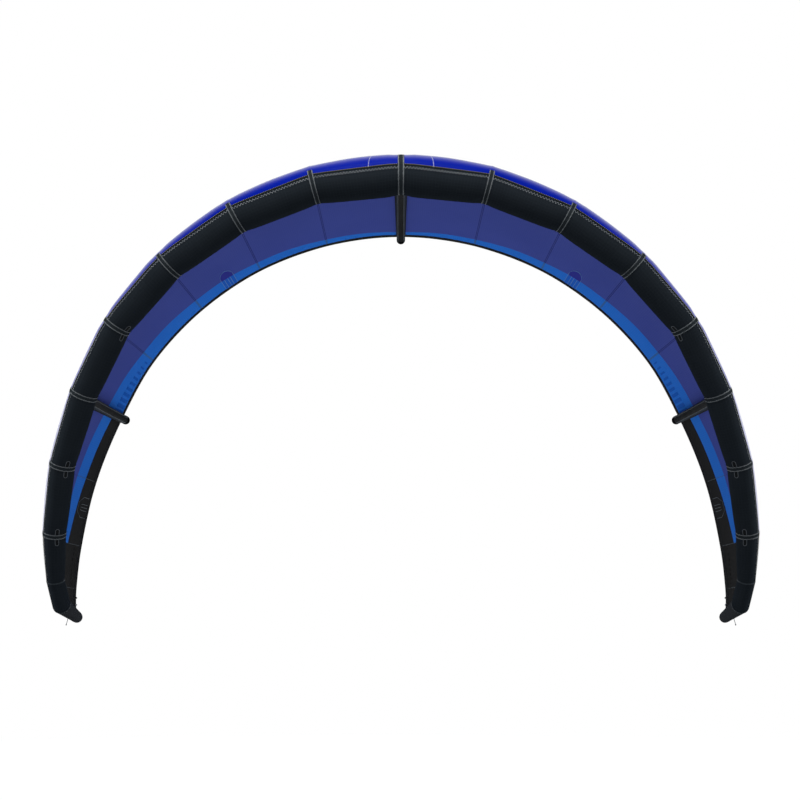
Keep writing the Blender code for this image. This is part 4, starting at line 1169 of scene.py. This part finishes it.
# Balls from rings: radius times the cosine across and the sine along, flattened a little.
def addLeechEnds():
    turn = np.linspace(-math.pi / 2, math.pi / 2, leechSet["rings"])[:, None]
    around = ringAngles(leechSet["sides"])
    ball = np.stack([np.cos(turn) * np.cos(around), np.cos(turn) * np.sin(around),
                     np.sin(turn) * leechSet["flatness"] + 0 * around], -1)
    for word, row in leechEnds.items():
        material = braidMaterial("leech_line_" + word, row["tone"], 0.002, 0.0002)
        at = clothAt([row["place"]], [[1]], 0)[0, 0] + yAxis * row["forward"]
        for side, sign in sides.items():
            ringPiece("leech_%s_%s" % (word, side), at * [sign, 1, 1] + ball * row["radius"],
                      turn[:, 0] * row["radius"], 2 * math.pi * row["radius"], material)


addLeechEnds()
print("patches and bars made")

# Struts: tapered tubes under the canopy, cut in front to fit the leading edge.
strutSet = {"seams": {"centre": 0, "right": 5, "left": -5}, "radii": (0.037, 0.022),
            "sideRadii": (0.032, 0.022), "clearance": 0.0028, "wall": 0.001, "frontGap": 0.0012,
            "last": 0.988, "slopeShare": 0.02, "sides": 64, "rows": 70, "tipRows": 8,
            "bellyHalf": 0.0175, "stitchInside": 0.0025, "girth": 0.06 * math.pi,
            "search": (0.002, 0.3, 400)}
strutCloth = strutMaterial()


def handed(i):
    return np.array([-1 if i < 0 else 1, 1, 1])


def strutRadiusAt(i, x):
    return between(strutSet["sideRadii" if i else "radii"], x)


def strutAxisAt(i, x):  # under the cloth by the clearance and the radius
    x = np.maximum(x, 0.0)
    cloth = clothAt([abs(i)], x[None, :], 0)[0]
    return cloth - seamNormals[abs(i)] * (strutSet["clearance"] + strutRadiusAt(i, x))[:, None]


def strutDirection(i, x):
    step = strutSet["slopeShare"]
    return unit(strutAxisAt(i, x + step) - strutAxisAt(i, x - step))


# Surface of a strut: a circle across the direction of its axis. Angle 0 is on its outer side
# and a quarter turn is up; x is a share of the chord, one for each point.
def strutAt(i, x, angle, lift):
    x, angle, lift = np.broadcast_arrays(x, angle, lift)
    flat, turn = x.ravel(), angle.reshape(-1, 1)
    side = -np.cross(seamNormals[abs(i)], yAxis)
    up = np.cross(side, strutDirection(i, flat))
    radius = (strutRadiusAt(i, flat) + lift.ravel())[:, None]
    points = strutAxisAt(i, flat) + radius * (side * np.cos(turn) + up * np.sin(turn))
    return (points * handed(i)).reshape(x.shape + (3,))


def outsideTube(i, points):  # distance from the leading edge, less its radius where it is pinched
    gaps = []
    for run in (max(abs(i) - 1, 0), abs(i)):
        start, direction, length = seamPoints[run], lengthDirs[run], segmentLengths[run]
        w = np.clip(((points - start) @ direction) / length, -0.5, 1.5)
        away = np.linalg.norm(points - start - w[..., None] * length * direction, axis=-1)
        gaps.append(away - (seamRadii[run] * (1 - w) + seamRadii[run + 1] * w)
                    + bellAt(run + np.clip(w, 0, 1) * 0.999, "bandPinch"))
    return np.minimum(*gaps)


# Share of the chord at which each line along a strut comes out of the leading edge.
def strutStart(i, angle, gap):
    x = np.linspace(*strutSet["search"])
    clear = outsideTube(i, strutAt(abs(i), x[:, None], angle, 0)) > gap
    inside = np.where(clear, 0, np.arange(len(x))[:, None]).max(0)
    return x[np.minimum(inside + 1, len(x) - 1)]


def strutTail(i, angle, lift, steps):  # its round end
    last = strutSet["last"]
    ring = strutAt(i, last, angle, lift)
    along = strutDirection(i, np.array([last]))[0] * handed(i)
    turn = np.linspace(0, math.pi / 2, steps + 1)[1:]
    return roundEnd(ring.mean(0), ring, along, strutRadiusAt(i, last) + lift, turn)


def strutWalls(i, x, angle, lifts):
    return [np.concatenate([strutAt(i, x, angle, lift),
                            strutTail(i, angle, lift, strutSet["tipRows"])]) for lift in lifts]


def bellyMark(i, x, angle):  # metres round the strut from the lowest line of it
    away = np.abs((angle - math.pi / 2) % (2 * math.pi) - math.pi)
    return away * strutRadiusAt(i, x)


def addStrutCasings():
    angle = ringAngles(strutSet["sides"])
    for side, i in strutSet["seams"].items():
        start = strutStart(i, angle, strutSet["frontGap"])
        x = between((start, strutSet["last"]), np.linspace(0, 1, strutSet["rows"])[:, None])
        allX = np.concatenate([x, np.full((strutSet["tipRows"], len(angle)), strutSet["last"])])
        piece = skinPiece("strut_tube_" + side, strutWalls(i, x, angle, (0, -strutSet["wall"])),
                          strutSet["girth"], strutCloth,
                          column=strutSet["sides"] * 3 // 4,
                          mark={"fromBelly": bellyMark(i, allX, angle)})
        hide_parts("strut_casing_" + side)


addStrutCasings()

# Bladders of the struts: film tubes, round at both ends.
strutBladderSet = {"inset": 0.0042, "sides": 40, "rows": 40, "start": 0.045, "endRows": 6,
                   "bluntness": 0.6, "girth": 0.22}


def addStrutBladders():
    values = strutBladderSet
    angle, lift = ringAngles(values["sides"]), -values["inset"]
    for side, i in strutSet["seams"].items():
        first = (seamRadii[abs(i)] + values["start"]) / chordAt(abs(i))
        x = np.linspace(first, strutSet["last"], values["rows"])[:, None]
        body = strutAt(i, x, angle, lift)
        centre = body[0].mean(0)
        turn = np.linspace(math.pi / 2, 0, values["endRows"] + 1)[:-1]
        nose = roundEnd(centre, body[0], unit(centre - body[1].mean(0)),
                        values["bluntness"] * (strutRadiusAt(i, first) + lift), turn)
        rings = np.concatenate([nose, body, strutTail(i, angle, lift, values["endRows"])])
        piece = ringPiece("bladder_of_strut_" + side, rings, runLength(rings[:, 3]),
                          values["girth"], film)
        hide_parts("strut_bladder_" + side)


addStrutBladders()

# Flanges: a narrow strip of cloth from each side of a strut up to the canopy, with a flap sewn on
# it. Their near-black tone, darker than the strut, is partly the flange's cloth and partly painted
# shade: a dark sheet along the join of strut and canopy, where shade falls. A thin piping cord
# runs along each edge of the black strip on the strut's belly.
flangeSet = {"angle": 12, "spread": (0.0015, 0.001), "flap": (0.003, 0.002), "thickness": 0.0009,
             "rows": 60, "columns": 8, "flapColumns": 3, "behind": 0.012, "underCloth": -0.0009,
             "rootLift": 0.0002, "bow": 0.0006, "girth": 0.06, "piping": 0.001,
             "pipingLift": 0.0003, "pipingSides": 10, "last": 0.975}
# near black: partly the flange's own tone, partly painted shade along the join of strut and canopy
flangeClothAndShade = plainMaterial("folded_polyester_flange_and_painted_shade", "#0c0e10", 0.65, 0.05, 90.0, 0.0003)
pipingCord = braidMaterial("covered_piping_cord", "#565b60", 0.003, 0.0002)


# Straight from the strut's side to the canopy, bowed outwards like a sine, with half the
# thickness to each side along the normals.
def addFlanges():
    s = np.linspace(0, 1, flangeSet["rows"])
    c = np.linspace(0, 1, flangeSet["columns"])[:-1, None, None]
    for side, i in strutSet["seams"].items():
        front = (seamRadii[abs(i)] + flangeSet["behind"]) / chordAt(abs(i))
        x = between((front, flangeSet["last"]), s)
        for hand, way in (("outer", 1), ("inner", -1)):
            turn = math.radians(flangeSet["angle"] if way > 0 else 180 - flangeSet["angle"])
            root = strutAt(abs(i), x, turn, flangeSet["rootLift"])
            spread, flap = between(flangeSet["spread"], s), between(flangeSet["flap"], s)
            outs = [way * (strutRadiusAt(i, x) + spread + flap * k)
                    for k in np.linspace(0, 1, flangeSet["flapColumns"])]
            onCloth = [layers(clothAt, placeFrom(abs(i), out), x, [flangeSet["underCloth"]])[0]
                       for out in outs]
            inwards = unit(strutAxisAt(i, x) - root)
            rise = (root * (1 - c) + onCloth[0] * c
                    + inwards * np.sin(math.pi * c) * -flangeSet["bow"])
            grid = np.concatenate([rise, np.array(onCloth)]).transpose(1, 0, 2)
            normals = unit(np.cross(np.gradient(grid, axis=0), np.gradient(grid, axis=1)))
            grids = [(grid + normals * way * flangeSet["thickness"] / 2) * handed(i)
                     for way in (-1, 1)]
            uv = surfaceUv(runLength(grid[:, 0]),
                           np.linspace(0, flangeSet["girth"], grid.shape[1]))
            name = "%s_%s" % (side, hand)
            sheetPiece("strut_flange_" + name, grids, uv, "strut_cloth", [flangeClothAndShade])
            aside = 1.5 * math.pi + way * strutSet["bellyHalf"] / strutRadiusAt(i, x)
            edge = strutAt(abs(i), x, aside, flangeSet["pipingLift"]) * handed(i)
            rodPiece("strut_piping_" + name, edge, flangeSet["piping"], flangeSet["pipingSides"],
                     pipingCord)


addFlanges()

# Bar tacks: a short row of pale thread along the belly of each strut, near the leading edge.
tackSet = {"radius": 0.0011, "steps": 24, "sides": 8, "lift": 0.0002}
tacks = {"centre": {"reach": (0.02, 0.12), "aside": 0.0},
         "side": {"reach": (0.06, 0.3), "aside": -0.009}}


def addBarTacks():
    thread = braidMaterial("bar_tack_thread", "#a9adaf", 0.004, 0.0003)
    for side, i in strutSet["seams"].items():
        tack = tacks["side" if i else "centre"]
        metres = seamRadii[abs(i)] + np.linspace(*tack["reach"], tackSet["steps"])
        x = metres / chordAt(abs(i))
        angle = 1.5 * math.pi + tack["aside"] / strutRadiusAt(i, x)
        path = strutAt(abs(i), x, angle, tackSet["lift"]) * handed(i)
        rodPiece("strut_bar_tack_" + side, path, tackSet["radius"], tackSet["sides"],
                 thread)


addBarTacks()

# Tail cap of each strut: a moulded rubber cup pushed over the round end.
capSet = {"lifts": (0.0009, 0.0001), "length": 0.028, "rows": 8, "girth": 0.15}
capRubber = plainMaterial("moulded_rubber_cap", "#0d0e10", 0.5, 0.0, 120.0, 0.0001)


def addTailCaps():
    for side, i in strutSet["seams"].items():
        first = strutSet["last"] - capSet["length"] / chordAt(abs(i))
        x = np.linspace(first, strutSet["last"], capSet["rows"])[:, None]
        walls = strutWalls(i, x, ringAngles(strutSet["sides"]), capSet["lifts"])
        skinPiece("strut_tail_cap_" + side, walls, capSet["girth"], capRubber,
                  column=3)


addTailCaps()
print("struts made")

# Hoses that fill the struts: silicone tube, straight out of the leading edge and in a bend to
# the strut's side.
hoseSet = {"radius": 0.006, "cover": {"centre": 0.0029, "right": 0.0016}, "pastClip": 0.042,
           "bend": 0.06, "strutRun": 0.024, "slack": 0.018, "steps": 60, "sides": 24,
           "reach": 0.2, "inside": 0.0028}
hoseRubber = plainMaterial("extruded_silicone_hose", "#15171a", 0.35, 0.4, 200.0, 0.00005)


# Each ends inside the wall of its strut, on the side of the clip.
def addHoses():
    for side, i in strutSet["seams"].items():
        key = "right" if i else "centre"
        start = np.array(holes[key][1])
        out = -np.cross(seamNormals[abs(i)], yAxis) * (-1 if i else 1)
        share = (hoseSet["reach"] + seamRadii[abs(i)] - seamRadii[0]) / chordAt(abs(i))
        end = (strutAxisAt(abs(i), np.atleast_1d(share))[0]
               + out * (strutRadiusAt(i, share) - hoseSet["inside"]))
        cover = hoseSet["cover"][key]
        past = start + yAxis * (cover + hoseSet["pastClip"])
        bend = start + yAxis * (cover + hoseSet["bend"])
        near = end + out * hoseSet["strutRun"]
        middle = (bend + near) / 2 + yAxis * hoseSet["slack"]
        path = curveThrough([start, past, bend, middle, near, end], hoseSet["steps"]) * handed(i)
        piece = rodPiece("filling_hose_" + side, path, hoseSet["radius"], hoseSet["sides"],
                         hoseRubber)
        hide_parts("strut_hose_" + side)


addHoses()

# Bridle patches: webbing with round ends, laid along the tube under the band of a seam.
tabSet = {"seams": {"upper": 4, "middle": 6, "lower": 7},
          "angles": {"upper": -54, "middle": -31, "lower": -22}, "length": 0.088, "width": 0.021,
          "leastShare": 0.08, "lifts": (0.0001, 0.0011), "rows": 41, "columns": 13}
webbing = tabMaterial()


# The width follows a straight side that ends in half circles.
def addBridlePatches():
    half, reach = tabSet["width"] / 2, tabSet["length"] / 2
    along = reach * np.sin(np.linspace(-math.pi / 2, math.pi / 2, tabSet["rows"]))[:, None]
    past = np.clip(np.abs(along) - (reach - half), 0, half)
    wide = np.sqrt(np.maximum(half**2 - past**2, (half * tabSet["leastShare"]) ** 2))
    across = wide * np.linspace(-1, 1, tabSet["columns"])
    toEnd = half - np.sqrt(past**2 + across**2)
    edge = np.minimum(wide - np.abs(across), np.where(past > 0, toEnd, half))
    uv = np.stack([np.broadcast_to(along, across.shape), across], -1)
    for word, i in tabSet["seams"].items():
        angle = math.radians(tabSet["angles"][word]) + across / seamRadii[i]
        for side, sign in sides.items():
            grids = layers(casingAt, placeFrom(i, along), angle, tabSet["lifts"], sign)
            piece = sheetPiece("bridle_patch_%s_%s" % (word, side), grids, uv, "webbing",
                               [webbing], {"edgeDistance": edge})
            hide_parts("bridle_tab_%s_%s" % (word, side))


addBridlePatches()

# Moulded plastics of the clips and the valve keep their solids.
plasticSet = {"clip_frame": ("moulded_acetal_grey", "#8b8e93"),
              "clip_lever": ("moulded_acetal_blue", "#1f4fb0"),
              "inflation_valve_body": ("moulded_polyurethane_black", "#1c1d20"),
              "inflation_valve_cap": ("moulded_polyurethane_blue", "#1f4fb0")}


def dressSolids():
    for start, (name, tone) in plasticSet.items():
        material = plainMaterial(name, tone, 0.42, 0.5, 400.0, 0.00003)
        for node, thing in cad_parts.items():
            if node.startswith(start):
                for slot in thing.material_slots:
                    slot.material = material


dressSolids()
print("fittings made")
